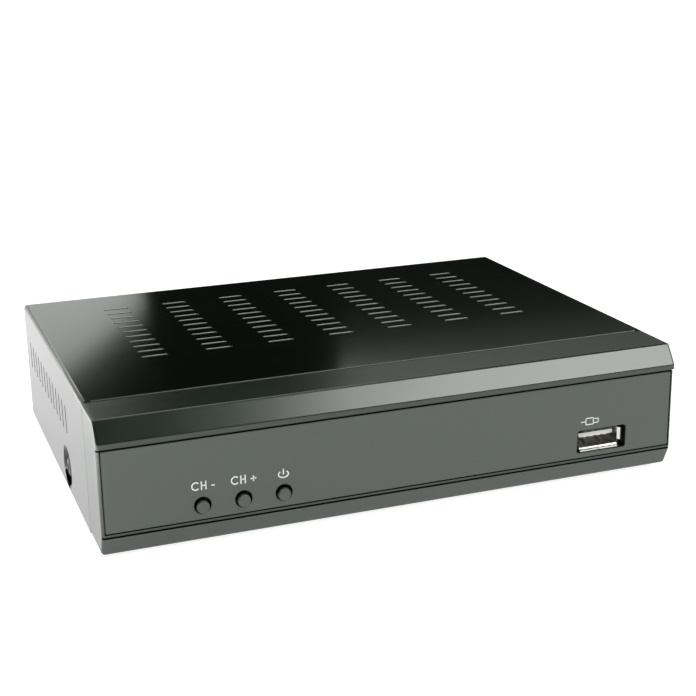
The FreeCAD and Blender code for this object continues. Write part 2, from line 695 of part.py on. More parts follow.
def bezel_hood():
    """The bezel's top: flat, then sloping down to a small rim ahead of the panel."""
    outline = [
        (BEZEL_D, BEZEL_TOP_Z),
        (HOOD_TOP_Y, BEZEL_TOP_Z),
        (-HOOD_REACH, HOOD_LOW_Z),
        (-HOOD_REACH, RIM_Z),
        (BEZEL_D, RIM_Z),
    ]
    hood = prism(outline, (-HALF_W, HALF_W))
    worn = []
    for edge in hood.Edges:
        middle = edge.CenterOfMass
        on_side = abs(abs(middle.x) - HALF_W) < TINY
        on_nose = abs(middle.x) < TINY and middle.y < HOOD_TOP_Y + TINY
        if (on_side or on_nose) and middle.z > RIM_Z + TINY and middle.y < BEZEL_D - TINY:
            worn.append(edge)
    return hood.makeFillet(HOOD_R, worn)


def bezel_body():
    """The bezel below the hood: side rims, and a lower band that leans back to the foot."""
    outline = [
        (BEZEL_D, RIM_Z),
        (-FACE_REACH, RIM_Z),
        (-FACE_REACH, BAND_TOP_Z),
        (BAND_SETBACK - FACE_REACH, 0),
        (BEZEL_D, 0),
    ]
    body = prism(outline, (-HALF_W, HALF_W))
    worn = []
    for edge in body.Edges:
        middle = edge.CenterOfMass
        on_side = abs(abs(middle.x) - HALF_W) < TINY
        on_foot = abs(middle.x) < TINY and middle.z < TINY
        if (on_side or on_foot) and middle.z < RIM_Z - TINY and middle.y < BEZEL_D - TINY:
            worn.append(edge)
    return body.makeFillet(BODY_R, worn)


def bezel_hollow():
    """Cutter for the room behind the bezel's walls."""
    outline = [
        (BEZEL_D + OVER, BEZEL_TOP_Z - BEZEL_WALL),
        (HOOD_TOP_Y + BEZEL_WALL, BEZEL_TOP_Z - BEZEL_WALL),
        (BACKER_Y, HOOD_LOW_Z),
        (BACKER_Y, BEZEL_FLOOR),
        (BEZEL_D + OVER, BEZEL_FLOOR),
    ]
    half = HALF_W - BEZEL_WALL
    return prism(outline, (-half, half))


def front_bezel():
    """Moulded frame with the panel's rebate, and bosses and lugs that hold the board, base and cover."""
    shell = fused([bezel_hood(), bezel_body()])
    rebate = block(about(0, PANEL_W + 2 * PANEL_GAP), (-OVER, PANEL_T), RIM_SPAN_Z)
    full = (-HALF_W - OVER, HALF_W + OVER)
    shadow_gap = block(full, (-OVER, SHADOW_GAP_D), (PANEL_TOP_Z, RIM_Z))
    groove = block(full, (-OVER, GROOVE_D), (BAND_TOP_Z, BAND_TOP_Z + GROOVE_H))
    shell = shell.cut(bezel_hollow()).cut(rebate).cut(shadow_gap).cut(groove)
    bosses = [rod("z", (x, BOSS_Y), BOSS_R, (BEZEL_FLOOR, BOARD_Z)) for x in BOSS_X]
    lug_y = (BEZEL_D - LUG_ROOT, BEZEL_D + LUG_REACH)
    floor_lug = block(about(HALF_W - LUG_INSET, LUG_W), lug_y, (SHEET, SHEET + LUG_T))
    ceiling = CASE_H - SHEET - FIT
    outer_x = HALF_W - TOP_LUG_INSET
    top_lugs = [block(about(x, LUG_W), lug_y, (ceiling - TOP_LUG_T, ceiling)) for x in (-outer_x, 0, outer_x)]
    shell = fused([shell] + bosses + mirrored(floor_lug) + top_lugs)
    boss_depth = (BEZEL_FLOOR, BOARD_Z + OVER)
    holes = [rod("z", (x, BOSS_Y), SCREW_R + THREAD_CLEAR, boss_depth) for x in BOSS_X]
    lug_depth = (SHEET - OVER, SHEET + LUG_T + OVER)
    holes += mirrored(rod("z", lug_place(), SCREW_R + THREAD_CLEAR, lug_depth))
    return shell.cut(Part.makeCompound(holes + backer_openings()))


def backer_openings():
    """Cutters through the wall behind the panel: keys, data port, sensor and lamp."""
    through = (-OVER, BACKER_Y + OVER)
    cuts = key_holes(through)
    cuts.append(port_opening(through))
    cuts.append(rod("y", (SENSOR_X, SENSOR_Z), SENSOR_LENS_R + PANEL_GAP, through))
    cuts.append(rod("y", (LAMP_X, LAMP_Z), LAMP_R + PANEL_GAP, through))
    return cuts


def key_holes(y):
    """Cutters for the three key holes."""
    return [rod("y", (x, KEY_Z + KEY_HOLE_RAISE), KEY_HOLE_D / 2, y) for x in key_places()]


def port_opening(y):
    """Cutter for the data port's window."""
    return slab("y", about(PORT_X, PORT_OPENING_W), y, about(PORT_Z, PORT_OPENING_H), PORT_OPENING_R)


def front_panel():
    """Flat panel in the bezel's rebate, with the key holes and the data port's window."""
    sheet = slab("y", about(0, PANEL_W), (0, PANEL_T), (PANEL_LOW_Z, PANEL_TOP_Z), PANEL_R)
    through = (-OVER, PANEL_T + OVER)
    cuts = key_holes(through)
    cuts.append(port_opening(through))
    sheet = sheet.cut(Part.makeCompound(cuts))
    return sheet.makeFillet(PANEL_EDGE_R, [edge for edge in sheet.Edges if edge.BoundBox.YMax < TINY])


def key(x):
    """A front key: a round cap, a retaining flange behind the bezel wall and a tail that meets the switch."""
    cap = rod("y", (x, KEY_Z), KEY_D / 2, (-KEY_PROUD, KEY_FLANGE_Y))
    rim = [edge for edge in cap.Edges if abs(edge.CenterOfMass.y + KEY_PROUD) < TINY]
    cap = cap.makeFillet(KEY_EDGE_R, rim)
    flange = rod("y", (x, KEY_Z), KEY_FLANGE_D / 2, (KEY_FLANGE_Y, KEY_TAIL_Y))
    tail = rod("y", (x, KEY_Z), KEY_TAIL_D / 2, (KEY_TAIL_Y, STEM_Y))
    return fused([cap, flange, tail])


def switch_stem(x):
    """The switch's own plunger, which the key's tail pushes."""
    return rod("y", (x, KEY_Z), STEM_D / 2, (STEM_Y, STEM_Y + STEM_L))


def switch_body(x):
    """Tactile switch standing on the front board, with a blind bore for its stem."""
    height = 2 * (KEY_Z - BOARD_TOP)
    body = block(about(x, SWITCH_W), (SWITCH_Y, SWITCH_Y + SWITCH_D), (BOARD_TOP, BOARD_TOP + height))
    bore = (SWITCH_Y - OVER, STEM_Y + STEM_L + KEY_TRAVEL + MOVING_CLEAR)
    return body.cut(rod("y", (x, KEY_Z), STEM_D / 2 + MOVING_CLEAR, bore))


def front_board():
    """Board under the keys and the data port, screwed to the bezel's bosses."""
    board = block(about(0, 2 * FRONT_BOARD_HALF), FRONT_BOARD_Y, (BOARD_Z, BOARD_TOP))
    through = (BOARD_Z - OVER, BOARD_TOP + OVER)
    holes = [rod("z", (x, BOSS_Y), SCREW_R + SCREW_CLEAR, through) for x in BOSS_X]
    return board.cut(Part.makeCompound(holes))


def remote_sensor():
    """Infrared receiver: a block with a domed lens that looks through the panel."""
    block_y = (SENSOR_FRONT, SENSOR_FRONT + SENSOR_D)
    body = block(about(SENSOR_X, SENSOR_W), block_y, (BOARD_TOP, BOARD_TOP + SENSOR_H))
    lens = Part.makeSphere(SENSOR_LENS_R, Vector(SENSOR_X, SENSOR_FRONT, SENSOR_Z))
    return fused([body, lens])


def standby_lamp():
    """Round lamp lying towards the panel, on an upright base."""
    centre = (LAMP_X, LAMP_Z)
    barrel = rod("y", centre, LAMP_R, (LAMP_TIP_Y + LAMP_R, LAMP_TIP_Y + LAMP_L))
    tip = Part.makeSphere(LAMP_R, Vector(LAMP_X, LAMP_TIP_Y + LAMP_R, LAMP_Z))
    base_y = (LAMP_TIP_Y + LAMP_L, LAMP_TIP_Y + LAMP_L + LAMP_BASE_D)
    base = block(about(LAMP_X, 2 * LAMP_R), base_y, (BOARD_TOP, LAMP_Z + LAMP_R))
    return fused([barrel, tip, base])


def port_tube(grow, y):
    """A rectangular bar as large as the port's shell plus grow on every side."""
    x = about(PORT_SHELL_X, PORT_SHELL_W + 2 * grow)
    return block(x, y, about(PORT_Z, PORT_SHELL_H + 2 * grow))


def port_flare(grow, y):
    """The widening mouth of the port: grow at its front end, nothing at its rear end."""
    wires = []
    for depth, extra in ((y[0], PORT_FLARE + grow), (y[1], grow)):
        x = about(PORT_SHELL_X, PORT_SHELL_W + 2 * extra)
        z = about(PORT_Z, PORT_SHELL_H + 2 * extra)
        corners = [Vector(x[0], depth, z[0]), Vector(x[1], depth, z[0])]
        corners += [Vector(x[1], depth, z[1]), Vector(x[0], depth, z[1])]
        wires.append(Part.makePolygon(corners + corners[:1]))
    return Part.makeLoft(wires, True, True)


def port_corners(y):
    """Cutters for the corners of the port's mouth, where the four flared lips part."""
    half_w = PORT_SHELL_W / 2
    half_h = PORT_SHELL_H / 2
    cuts = []
    for level, (across, up) in ((-1, PORT_CORNER_LOW), (1, PORT_CORNER_HIGH)):
        for side in (-1, 1):
            x = sorted((PORT_SHELL_X + side * (half_w - across), PORT_SHELL_X + side * (half_w + OVER)))
            z = sorted((PORT_Z + level * (half_h - up), PORT_Z + level * (half_h + OVER)))
            cuts.append(block(x, y, z))
    return cuts


def port_springs():
    """Spring leaves punched out of the sleeve's underside: each rises into the port as a low ridge."""
    low = PORT_Z - PORT_INSIDE_H / 2
    start = PORT_MOUTH_Y + PORT_SPRING_START
    outline = [
        (start, low - PORT_SHELL_T),
        (start, low),
        (start + PORT_SPRING_L / 2, low + PORT_SPRING_RISE),
        (start + PORT_SPRING_L, low),
        (start + PORT_SPRING_L, low - PORT_SHELL_T),
    ]
    sides = (-1, 1)
    return [prism(outline, about(PORT_SHELL_X + side * PORT_SPRING_OUT, PORT_SPRING_W)) for side in sides]


def port_shell():
    """Folded sleeve of the data port: flared lips at its mouth, a joint and two springs underneath."""
    back = PORT_MOUTH_Y + PORT_SHELL_L
    neck = PORT_MOUTH_Y + PORT_FLARE_L
    outer = fused([port_tube(0, (neck, back)), port_flare(0, (PORT_MOUTH_Y, neck))])
    hollow = port_tube(-PORT_SHELL_T, (PORT_MOUTH_Y - OVER, back + OVER))
    sleeve = outer.cut(hollow).cut(port_flare(-PORT_SHELL_T, (PORT_MOUTH_Y, neck)))
    underside = (PORT_Z - PORT_SHELL_H / 2 - PORT_FLARE - OVER, PORT_Z)
    seam = block(about(PORT_SHELL_X, PORT_SEAM), (PORT_MOUTH_Y - OVER, back - PORT_PLUG_L), underside)
    cuts = port_corners((PORT_MOUTH_Y - OVER, neck)) + [seam]
    return fused([sleeve] + port_springs()).cut(Part.makeCompound(cuts))


def port_tongue_z():
    """(low, high) of the port's tongue."""
    top = PORT_Z + PORT_INSIDE_H / 2 - PORT_TONGUE_DROP
    return (top - PORT_TONGUE_T, top)


def port_housing():
    """Plastic of the data port: the tongue, the plug that closes the shell and the base on the board."""
    back = PORT_MOUTH_Y + PORT_SHELL_L
    tongue_y = (PORT_MOUTH_Y + PORT_TONGUE_SETBACK, back)
    tongue = block(about(PORT_SHELL_X, PORT_TONGUE_W), tongue_y, port_tongue_z())
    plug = port_tube(-PORT_SHELL_T, (back - PORT_PLUG_L, back))
    end = back + PORT_REAR_T
    rear = block(about(PORT_SHELL_X, PORT_SHELL_W), (back, end), (BOARD_TOP, PORT_Z + PORT_SHELL_H / 2))
    low = PORT_Z - PORT_SHELL_H / 2
    base = block(about(PORT_SHELL_X, PORT_SHELL_W), (FRONT_BOARD_Y[0], end), (BOARD_TOP, low))
    return fused([tongue, plug, rear, base])


def port_contacts():
    """Four contact strips under the tongue."""
    low = port_tongue_z()[0]
    start = PORT_MOUTH_Y + PORT_TONGUE_SETBACK + PORT_CONTACT_T
    first = about(PORT_SHELL_X - PORT_CONTACT_PITCH * (PORT_CONTACTS - 1) / 2, PORT_CONTACT_W)
    strip = block(first, (start, start + PORT_CONTACT_L), (low - PORT_CONTACT_T, low))
    return Part.makeCompound(row(strip, "x", PORT_CONTACT_PITCH, PORT_CONTACTS))


def ribbon_headers():
    """A ribbon header on either board, each with a slot in its top for the ribbon."""
    headers = []
    for y in HEADER_Y:
        body = block(about(RIBBON_X, HEADER_W), about(y, HEADER_D), (BOARD_TOP, BOARD_TOP + HEADER_H))
        cut_z = (BOARD_TOP + RIBBON_SEAT, BOARD_TOP + HEADER_H + OVER)
        headers.append(body.cut(block(about(RIBBON_X, RIBBON_W + FIT), about(y, RIBBON_T + FIT), cut_z)))
    return Part.makeCompound(headers)


def ribbon_cable():
    """Flat ribbon that rises from one header, bends over in a half circle and drops into the other."""
    bend_z = BOARD_TOP + HEADER_H + RIBBON_T
    middle = (HEADER_Y[0] + HEADER_Y[1]) / 2
    radius = (HEADER_Y[1] - HEADER_Y[0]) / 2
    span = about(RIBBON_X, RIBBON_W)
    arch = pipe("x", (middle, bend_z), radius + RIBBON_T / 2, radius - RIBBON_T / 2, span)
    room = 2 * (radius + RIBBON_T)
    upper = block((span[0] - OVER, span[1] + OVER), about(middle, room), (bend_z, bend_z + room))
    legs = [block(span, about(y, RIBBON_T), (BOARD_TOP + RIBBON_SEAT, bend_z)) for y in HEADER_Y]
    return fused([arch.common(upper)] + legs)


def main_board():
    """Main circuit board on its four standoffs."""
    board = block(about(0, 2 * MAIN_BOARD_HALF), MAIN_BOARD_Y, (BOARD_Z, BOARD_TOP))
    through = (BOARD_Z - OVER, BOARD_TOP + OVER)
    holes = [rod("z", place, SCREW_R + SCREW_CLEAR, through) for place in standoff_places()]
    return board.cut(Part.makeCompound(holes))


def hexagon(axis, centre, across_flats, span):
    """A hexagonal bar along an axis."""
    radius = across_flats / 2 / math.cos(math.pi / HEX_SIDES)
    corners = []
    for step in range(HEX_SIDES):
        angle = (step + 1 / 2) * math.tau / HEX_SIDES
        across = (centre[0] + radius * math.cos(angle), centre[1] + radius * math.sin(angle))
        corners.append(point(axis, across, span[0]))
    return Part.Face(Part.makePolygon(corners + corners[:1])).extrude(AXES[axis] * (span[1] - span[0]))


def board_standoffs():
    """Threaded hexagonal pillars, riveted into the base's floor."""
    pillars = []
    for place in standoff_places():
        pillar = fused([
            hexagon("z", place, STANDOFF_AF, (SHEET, BOARD_Z)),
            rod("z", place, STANDOFF_SPIGOT_R, (0, SHEET)),
        ])
        pillars.append(pillar.cut(rod("z", place, SCREW_R + THREAD_CLEAR, (-OVER, BOARD_Z + OVER))))
    return Part.makeCompound(pillars)


def tuner_box(grow, z):
    """A bar as large as the tuner's can plus grow on every side."""
    half = TUNER_W / 2 + grow
    return block((TUNER_X - half, TUNER_X + half), (TUNER_BACK - TUNER_D - grow, TUNER_BACK + grow), z)


def tuner_can():
    """Four-sided shield around the tuner, with openings for the aerial sockets."""
    walls = tuner_box(0, (BOARD_TOP, BOARD_TOP + TUNER_H))
    walls = walls.cut(tuner_box(-TUNER_SHEET, (BOARD_TOP - OVER, BOARD_TOP + TUNER_H + OVER)))
    through = (TUNER_BACK - OVER, TUNER_BACK + OVER)
    holes = [rod("y", (x, DISH_Z), DISH_BORE_R, through) for x in dish_places()]
    return walls.cut(Part.makeCompound(holes))


def tuner_lid():
    """Lid on the shield, with edges folded down inside it and embossed stiffening ribs."""
    top = BOARD_TOP + TUNER_H
    lid = tuner_box(0, (top, top + TUNER_SHEET))
    skirt = tuner_box(-TUNER_SHEET, (top - TUNER_SKIRT, top))
    skirt = skirt.cut(tuner_box(-2 * TUNER_SHEET, (top - TUNER_SKIRT - OVER, top)))
    pitch = TUNER_D / (TUNER_RIBS + 1)
    rib_z = (top, top + 2 * TUNER_SHEET)
    rib = slot(TUNER_W / 2, TUNER_RIB_W, "z", (TUNER_X, TUNER_BACK - pitch), rib_z)
    return fused([lid, skirt] + row(rib, "y", -pitch, TUNER_RIBS))


def dish_socket(x):
    """Threaded aerial socket: a flange behind the back plate and a threaded barrel through it."""
    centre = (x, DISH_Z)
    flange = pipe("y", centre, DISH_FLANGE_R, DISH_BORE_R, (TUNER_BACK, BACK_IN))
    barrel = pipe("y", centre, DISH_THREAD_R, DISH_BORE_R, (BACK_IN, DISH_TIP))
    groove_y = (NUT_Y[1], NUT_Y[1] + DISH_GROOVE_L)
    groove = pipe("y", centre, DISH_FLANGE_R, DISH_GROOVE_R, groove_y)
    return fused([flange, barrel]).cut(groove)


def dish_insulators():
    """White insulators that fill the aerial sockets, each bored for its contact."""
    span = (TUNER_BACK - TUNER_SHEET - DISH_TAIL, DISH_TIP - DISH_INSULATOR_SETBACK)
    return Part.makeCompound([pipe("y", (x, DISH_Z), DISH_BORE_R, DISH_PIN_R, span) for x in dish_places()])


def dish_contacts():
    """Spring contacts in the middle of the aerial sockets."""
    span = (TUNER_BACK - TUNER_SHEET - 2 * DISH_TAIL, DISH_TIP - 2 * DISH_INSULATOR_SETBACK)
    bore = (BACK_OUT, span[1] + OVER)
    solids = []
    for x in dish_places():
        pin = rod("y", (x, DISH_Z), DISH_PIN_R, span)
        solids.append(pin.cut(rod("y", (x, DISH_Z), DISH_PIN_BORE_R, bore)))
    return Part.makeCompound(solids)


def dish_nuts():
    """Hexagonal nuts outside the back plate."""
    hole = (NUT_Y[0] - OVER, NUT_Y[1] + OVER)
    nuts = []
    for x in dish_places():
        centre = (x, DISH_Z)
        nut = hexagon("y", centre, NUT_AF, NUT_Y)
        nuts.append(nut.cut(rod("y", centre, DISH_THREAD_R + THREAD_CLEAR, hole)))
    return Part.makeCompound(nuts)


def dish_washers():
    """Washers under the nuts."""
    span = (BACK_OUT, NUT_Y[0])
    bore = DISH_THREAD_R + THREAD_CLEAR
    return Part.makeCompound([pipe("y", (x, DISH_Z), WASHER_R, bore, span) for x in dish_places()])


def audio_body():
    """Plastic block of the digital audio socket, with a collar through the back plate."""
    height = (BOARD_TOP, BOARD_TOP + AUDIO_H)
    body = block(about(AUDIO_X, AUDIO_W), (BACK_IN - AUDIO_D, BACK_IN), height)
    centre = (AUDIO_X, AUDIO_Z)
    collar = rod("y", centre, AUDIO_COLLAR_R, (BACK_IN - AUDIO_D / 2, BACK_OUT + AUDIO_COLLAR_REACH))
    low_trim = block(about(AUDIO_X, 2 * AUDIO_W), (BACK_IN - AUDIO_D, BACK_IN), (BOARD_Z, BOARD_TOP))
    collar = collar.cut(low_trim)
    bore = (BACK_IN - AUDIO_ROOT_DEPTH, BACK_OUT + AUDIO_COLLAR_REACH + OVER)
    return fused([body, collar]).cut(rod("y", centre, AUDIO_ROOT_R + THREAD_CLEAR, bore))


def audio_ring():
    """Metal sleeve of the digital audio socket, with a narrower root in the collar."""
    centre = (AUDIO_X, AUDIO_Z)
    inner = AUDIO_RING_R - AUDIO_RING_T
    root = pipe("y", centre, AUDIO_ROOT_R, inner, (BACK_IN - AUDIO_ROOT_DEPTH, AUDIO_SLEEVE_Y[0]))
    return fused([root, pipe("y", centre, AUDIO_RING_R, inner, AUDIO_SLEEVE_Y)])


def audio_core():
    """Insulating core inside the sleeve."""
    radius = AUDIO_RING_R - AUDIO_RING_T - THREAD_CLEAR
    span = (BACK_IN - AUDIO_ROOT_DEPTH, AUDIO_SLEEVE_Y[1] - AUDIO_CORE_SETBACK)
    return pipe("y", (AUDIO_X, AUDIO_Z), radius, AUDIO_PIN_R, span)


def audio_contact():
    """Tubular contact that takes the plug's pin."""
    centre = (AUDIO_X, AUDIO_Z)
    front = AUDIO_SLEEVE_Y[1] - AUDIO_CORE_SETBACK
    sleeve = rod("y", centre, AUDIO_PIN_R, (BACK_IN - AUDIO_ROOT_DEPTH, front))
    return sleeve.cut(rod("y", centre, AUDIO_PIN_BORE_R, (BACK_IN, front + OVER)))


def av_cavity(shrink, y):
    """The 21-way socket's outline as a cutter: a rectangle with one slanted corner, shrunk all round."""
    half_w = AV_CAVITY_W / 2 - shrink
    half_h = AV_CAVITY_H / 2 - shrink
    outline = [
        (AV_X - half_w, AV_Z - half_h),
        (AV_X + half_w, AV_Z - half_h),
        (AV_X + half_w, AV_Z + half_h - AV_CAVITY_CUT),
        (AV_X + half_w - AV_CAVITY_CUT, AV_Z + half_h),
        (AV_X - half_w, AV_Z + half_h),
    ]
    return plate(outline, y)


def av_housing():
    """Plastic of the 21-way socket: a groove around a centre block with two rows of contact slots."""
    face = BACK_OUT + BACK_NOSE
    body = block(about(AV_X, AV_W), (BACK_IN - AV_D, BACK_IN), (BOARD_TOP, BOARD_TOP + AV_H))
    nose = block(about(AV_X, AV_NOSE_W), (BACK_IN, face), about(AV_Z, AV_NOSE_H))
    groove_y = (face - AV_CAVITY_D, face + OVER)
    groove = av_cavity(0, groove_y).cut(av_cavity(AV_GROOVE, (groove_y[0] - OVER, groove_y[1] + OVER)))
    housing = fused([body, nose]).cut(groove)
    holes = av_slot_row(AV_SLOT_W, AV_SLOT_H, (face - AV_SLOT_D, face + OVER))
    reach = (BACK_IN - AV_SCREW_L, BACK_IN + OVER)
    for side in (-1, 1):
        place = (AV_X + side * AV_SCREW_OUT, AV_Z)
        holes.append(rod("y", place, AV_SCREW_R + THREAD_CLEAR, reach))
    return housing.cut(Part.makeCompound(holes))


def av_slot_row(width, height, y):
    """Blocks at the contact places of the 21-way socket, in two rows."""
    first_x = AV_X - AV_SLOT_PITCH * (AV_SLOT_COUNT - 1) / 2 - AV_SLOT_W / 2
    solids = []
    for side in (-1, 1):
        middle = AV_Z + side * AV_SLOT_ROW
        first = block(about(first_x, width), y, about(middle, height))
        solids += row(first, "x", AV_SLOT_PITCH, AV_SLOT_COUNT)
    return solids


def av_contacts():
    """Spring blades at the bottom of the 21-way socket's slots."""
    floor = BACK_OUT + BACK_NOSE - AV_SLOT_D
    blade = AV_SLOT_D / 2
    return Part.makeCompound(av_slot_row(AV_SLOT_W / 2, AV_SLOT_H / 2, (floor, floor + blade)))


def video_outline(grow):
    """(x, z) corners of the digital video socket, whose lower corners are bevelled."""
    half = VIDEO_W / 2 + grow
    low = BOARD_TOP - grow
    high = BOARD_TOP + VIDEO_H + grow
    bevel = VIDEO_CORNER
    return [
        (VIDEO_X - half + bevel, low),
        (VIDEO_X + half - bevel, low),
        (VIDEO_X + half, low + bevel),
        (VIDEO_X + half, high),
        (VIDEO_X - half, high),
        (VIDEO_X - half, low + bevel),
    ]


def video_span():
    """(rear, mouth) of the digital video socket."""
    return (BACK_OUT + BACK_NOSE - VIDEO_L, BACK_OUT + BACK_NOSE)


def video_shell():
    """Metal sleeve of the digital video socket."""
    rear, mouth = video_span()
    hollow = plate(video_outline(-VIDEO_T), (rear - OVER, mouth + OVER))
    return plate(video_outline(0), (rear, mouth)).cut(hollow)


def video_tongue_z():
    """(low, high) of the digital video socket's tongue."""
    return about(BOARD_TOP + VIDEO_H / 2 + VIDEO_TONGUE_UP, VIDEO_TONGUE_T)


def video_tongue():
    """Plastic tongue of the digital video socket, and the plug it stands on."""
    rear, mouth = video_span()
    plug = plate(video_outline(-VIDEO_T), (rear, rear + VIDEO_PLUG_L))
    blade = block(about(VIDEO_X, VIDEO_TONGUE_W), (rear, mouth - VIDEO_TONGUE_SETBACK), video_tongue_z())
    return fused([plug, blade])


def video_contacts():
    """Contact strips over and under the tongue."""
    low, high = video_tongue_z()
    end = video_span()[1] - VIDEO_TONGUE_SETBACK - VIDEO_CONTACT_W
    span = (end - VIDEO_CONTACT_L, end)
    strips = []
    over = (VIDEO_CONTACTS_OVER, (high, high + VIDEO_CONTACT_T))
    under = (VIDEO_CONTACTS_UNDER, (low - VIDEO_CONTACT_T, low))
    for count, z in (over, under):
        first_x = VIDEO_X - VIDEO_CONTACT_PITCH * (count - 1) / 2
        strips += row(block(about(first_x, VIDEO_CONTACT_W), span, z), "x", VIDEO_CONTACT_PITCH, count)
    return Part.makeCompound(strips)


def rocker_housing():
    """Frame and body of the power switch, snapped into the back plate from outside."""
    frame = slab(
        "y",
        about(ROCKER_X, ROCKER_BEZEL_W),
        (BACK_OUT, ROCKER_FACE_Y),
        about(ROCKER_Z, ROCKER_BEZEL_H),
        ROCKER_R,
    )
    body_y = (BACK_OUT - ROCKER_BODY_D, BACK_OUT)
    body = block(about(ROCKER_X, ROCKER_BODY_W), body_y, about(ROCKER_Z, ROCKER_BODY_H))
    well_y = (body_y[0] + ROCKER_FLOOR, ROCKER_FACE_Y + OVER)
    well = block(about(ROCKER_X, ROCKER_OPENING_W), well_y, about(ROCKER_Z, ROCKER_OPENING_H))
    hole_w = ROCKER_OPENING_W + 2 * (ROCKER_PIN_BITE + MOVING_CLEAR)
    pin_holes = rod("x", (ROCKER_AXIS_Y, ROCKER_Z), ROCKER_PIN_R + MOVING_CLEAR, about(ROCKER_X, hole_w))
    return fused([frame, body]).cut(well).cut(pin_holes)


def power_rocker():
    """Paddle of the power switch, tilted one way about its pivot pins."""
    outline = [
        (ROCKER_FACE_Y + ROCKER_RISE, ROCKER_Z - ROCKER_HALF_H),
        (ROCKER_FACE_Y, ROCKER_Z),
        (ROCKER_FACE_Y + ROCKER_RISE, ROCKER_Z + ROCKER_HALF_H),
        (ROCKER_AXIS_Y, ROCKER_Z + ROCKER_TAIL_H),
        (ROCKER_AXIS_Y - ROCKER_TAIL_D, ROCKER_Z + ROCKER_PIN_R),
        (ROCKER_AXIS_Y - ROCKER_TAIL_D, ROCKER_Z - ROCKER_PIN_R),
        (ROCKER_AXIS_Y, ROCKER_Z - ROCKER_TAIL_H),
    ]
    paddle = prism(outline, about(ROCKER_X, ROCKER_OPENING_W - 2 * ROCKER_SIDE_CLEAR))
    pin_span = about(ROCKER_X, ROCKER_OPENING_W + 2 * ROCKER_PIN_BITE)
    whole = fused([paddle, rod("x", (ROCKER_AXIS_Y, ROCKER_Z), ROCKER_PIN_R, pin_span)])
    whole.rotate(Vector(ROCKER_X, ROCKER_AXIS_Y, ROCKER_Z), AXES["x"], -ROCKER_TILT)
    return whole


def power_inlet():
    """Plastic body of the low-voltage inlet, with a round nose in the back plate."""
    body = block(about(POWER_X, POWER_W), (BACK_IN - POWER_D, BACK_IN), (BOARD_TOP, BOARD_TOP + POWER_H))
    centre = (POWER_X, POWER_Z)
    nose = rod("y", centre, POWER_NOSE_R, (BACK_IN, BACK_OUT))
    return fused([body, nose]).cut(rod("y", centre, POWER_BORE_R, (BACK_OUT - POWER_BORE_D, BACK_OUT + OVER)))


def power_pin():
    """Centre pin of the low-voltage inlet."""
    return rod("y", (POWER_X, POWER_Z), POWER_PIN_R, (BACK_OUT - POWER_BORE_D, BACK_OUT - POWER_PIN_SETBACK))


def heat_sink():
    """Aluminium heat sink with upright fins."""
    low = BOARD_TOP + CHIP_H + PAD_T
    x, y = board_places(middle=[CHIP_MIDDLE])[0]
    base = block(about(x, SINK_W), about(y, SINK_W), (low, low + SINK_BASE))
    first = x - SINK_W / 2 + SINK_FIN_T / 2
    pitch = (SINK_W - SINK_FIN_T) / (SINK_FINS - 1)
    fin = block(about(first, SINK_FIN_T), about(y, SINK_W), (low + SINK_BASE, low + SINK_H))
    return fused([base] + row(fin, "x", pitch, SINK_FINS))


def can(place, radius, height):
    """An upright electrolytic capacitor with a rolled bead near its foot."""
    low = BOARD_TOP
    profile = [
        (0, low),
        (radius, low),
        (radius, low + CAN_BEAD_Z),
        (radius - CAN_BEAD, low + CAN_BEAD_Z + CAN_BEAD),
        (radius, low + CAN_BEAD_Z + 2 * CAN_BEAD),
        (radius, low + height - CAN_BEAD),
        (radius - CAN_BEAD, low + height),
        (0, low + height),
    ]
    return turned("z", place, profile)


def coil(place):
    """A drum-core inductor with square end plates."""
    x, y = place
    low = BOARD_TOP
    plates = [(low, low + COIL_FLANGE_H), (low + COIL_H - COIL_FLANGE_H, low + COIL_H)]
    ends = [block(about(x, COIL_W), about(y, COIL_W), z) for z in plates]
    return fused(ends + [rod("z", place, COIL_WAIST_R, (plates[0][1], plates[1][0]))])


def small_cans():
    """(x, y) of the small capacitors: a row on the left and the ones on the right."""
    side, rear = SMALL_CAN_INSET
    row_y = MAIN_BOARD_Y[1] - rear
    left = [(side - MAIN_BOARD_HALF + SMALL_CAN_PITCH * step, row_y) for step in range(SMALL_CAN_COUNT)]
    return left + board_places(right=SMALL_CAN_RIGHT)


def small_parts():
    """Rows of small surface-mounted parts."""
    rows = [MAIN_BOARD_Y[0] + y for y in SMALL_PART_FRONT] + [MAIN_BOARD_Y[1] - y for y in SMALL_PART_REAR]
    firsts = chips([(SMALL_PART_X, y) for y in rows], SMALL_PART_SIZE)
    solids = [solid for first in firsts for solid in row(first, "x", SMALL_PART_PITCH, SMALL_PART_COUNT)]
    return Part.makeCompound(solids)


def rubber_feet():
    """Four round feet with tapered rims and a dimple in each sole."""
    profile = [
        (0, 0),
        (FOOT_R, 0),
        (FOOT_R - FOOT_TAPER, -FOOT_H),
        (FOOT_DIMPLE_R, -FOOT_H),
        (FOOT_DIMPLE_R, -FOOT_H + FOOT_DIMPLE_DEPTH),
        (0, -FOOT_H + FOOT_DIMPLE_DEPTH),
    ]
    return Part.makeCompound([turned("z", place, profile) for place in foot_places()])


def board_screws():
    """Screws that hold the main board to its standoffs."""
    return Part.makeCompound([screw("z", place, BOARD_TOP, -1, BOARD_SCREW_L) for place in standoff_places()])


def front_board_screws():
    """Screws that hold the front board to the bezel's bosses."""
    return Part.makeCompound([screw("z", (x, BOSS_Y), BOARD_TOP, -1, BOARD_SCREW_L) for x in BOSS_X])


def cover_screws():
    """Screws that hold the cover: one in each side dimple and two through the rear lip."""
    side = screw("x", (DIMPLE_Y, DIMPLE_Z), HALF_W - DIMPLE_DEPTH, -1, CASE_SCREW_L)
    rear = screw("y", rear_screw_place(), CASE_D, -1, CASE_SCREW_L)
    return Part.makeCompound(mirrored(side) + mirrored(rear))


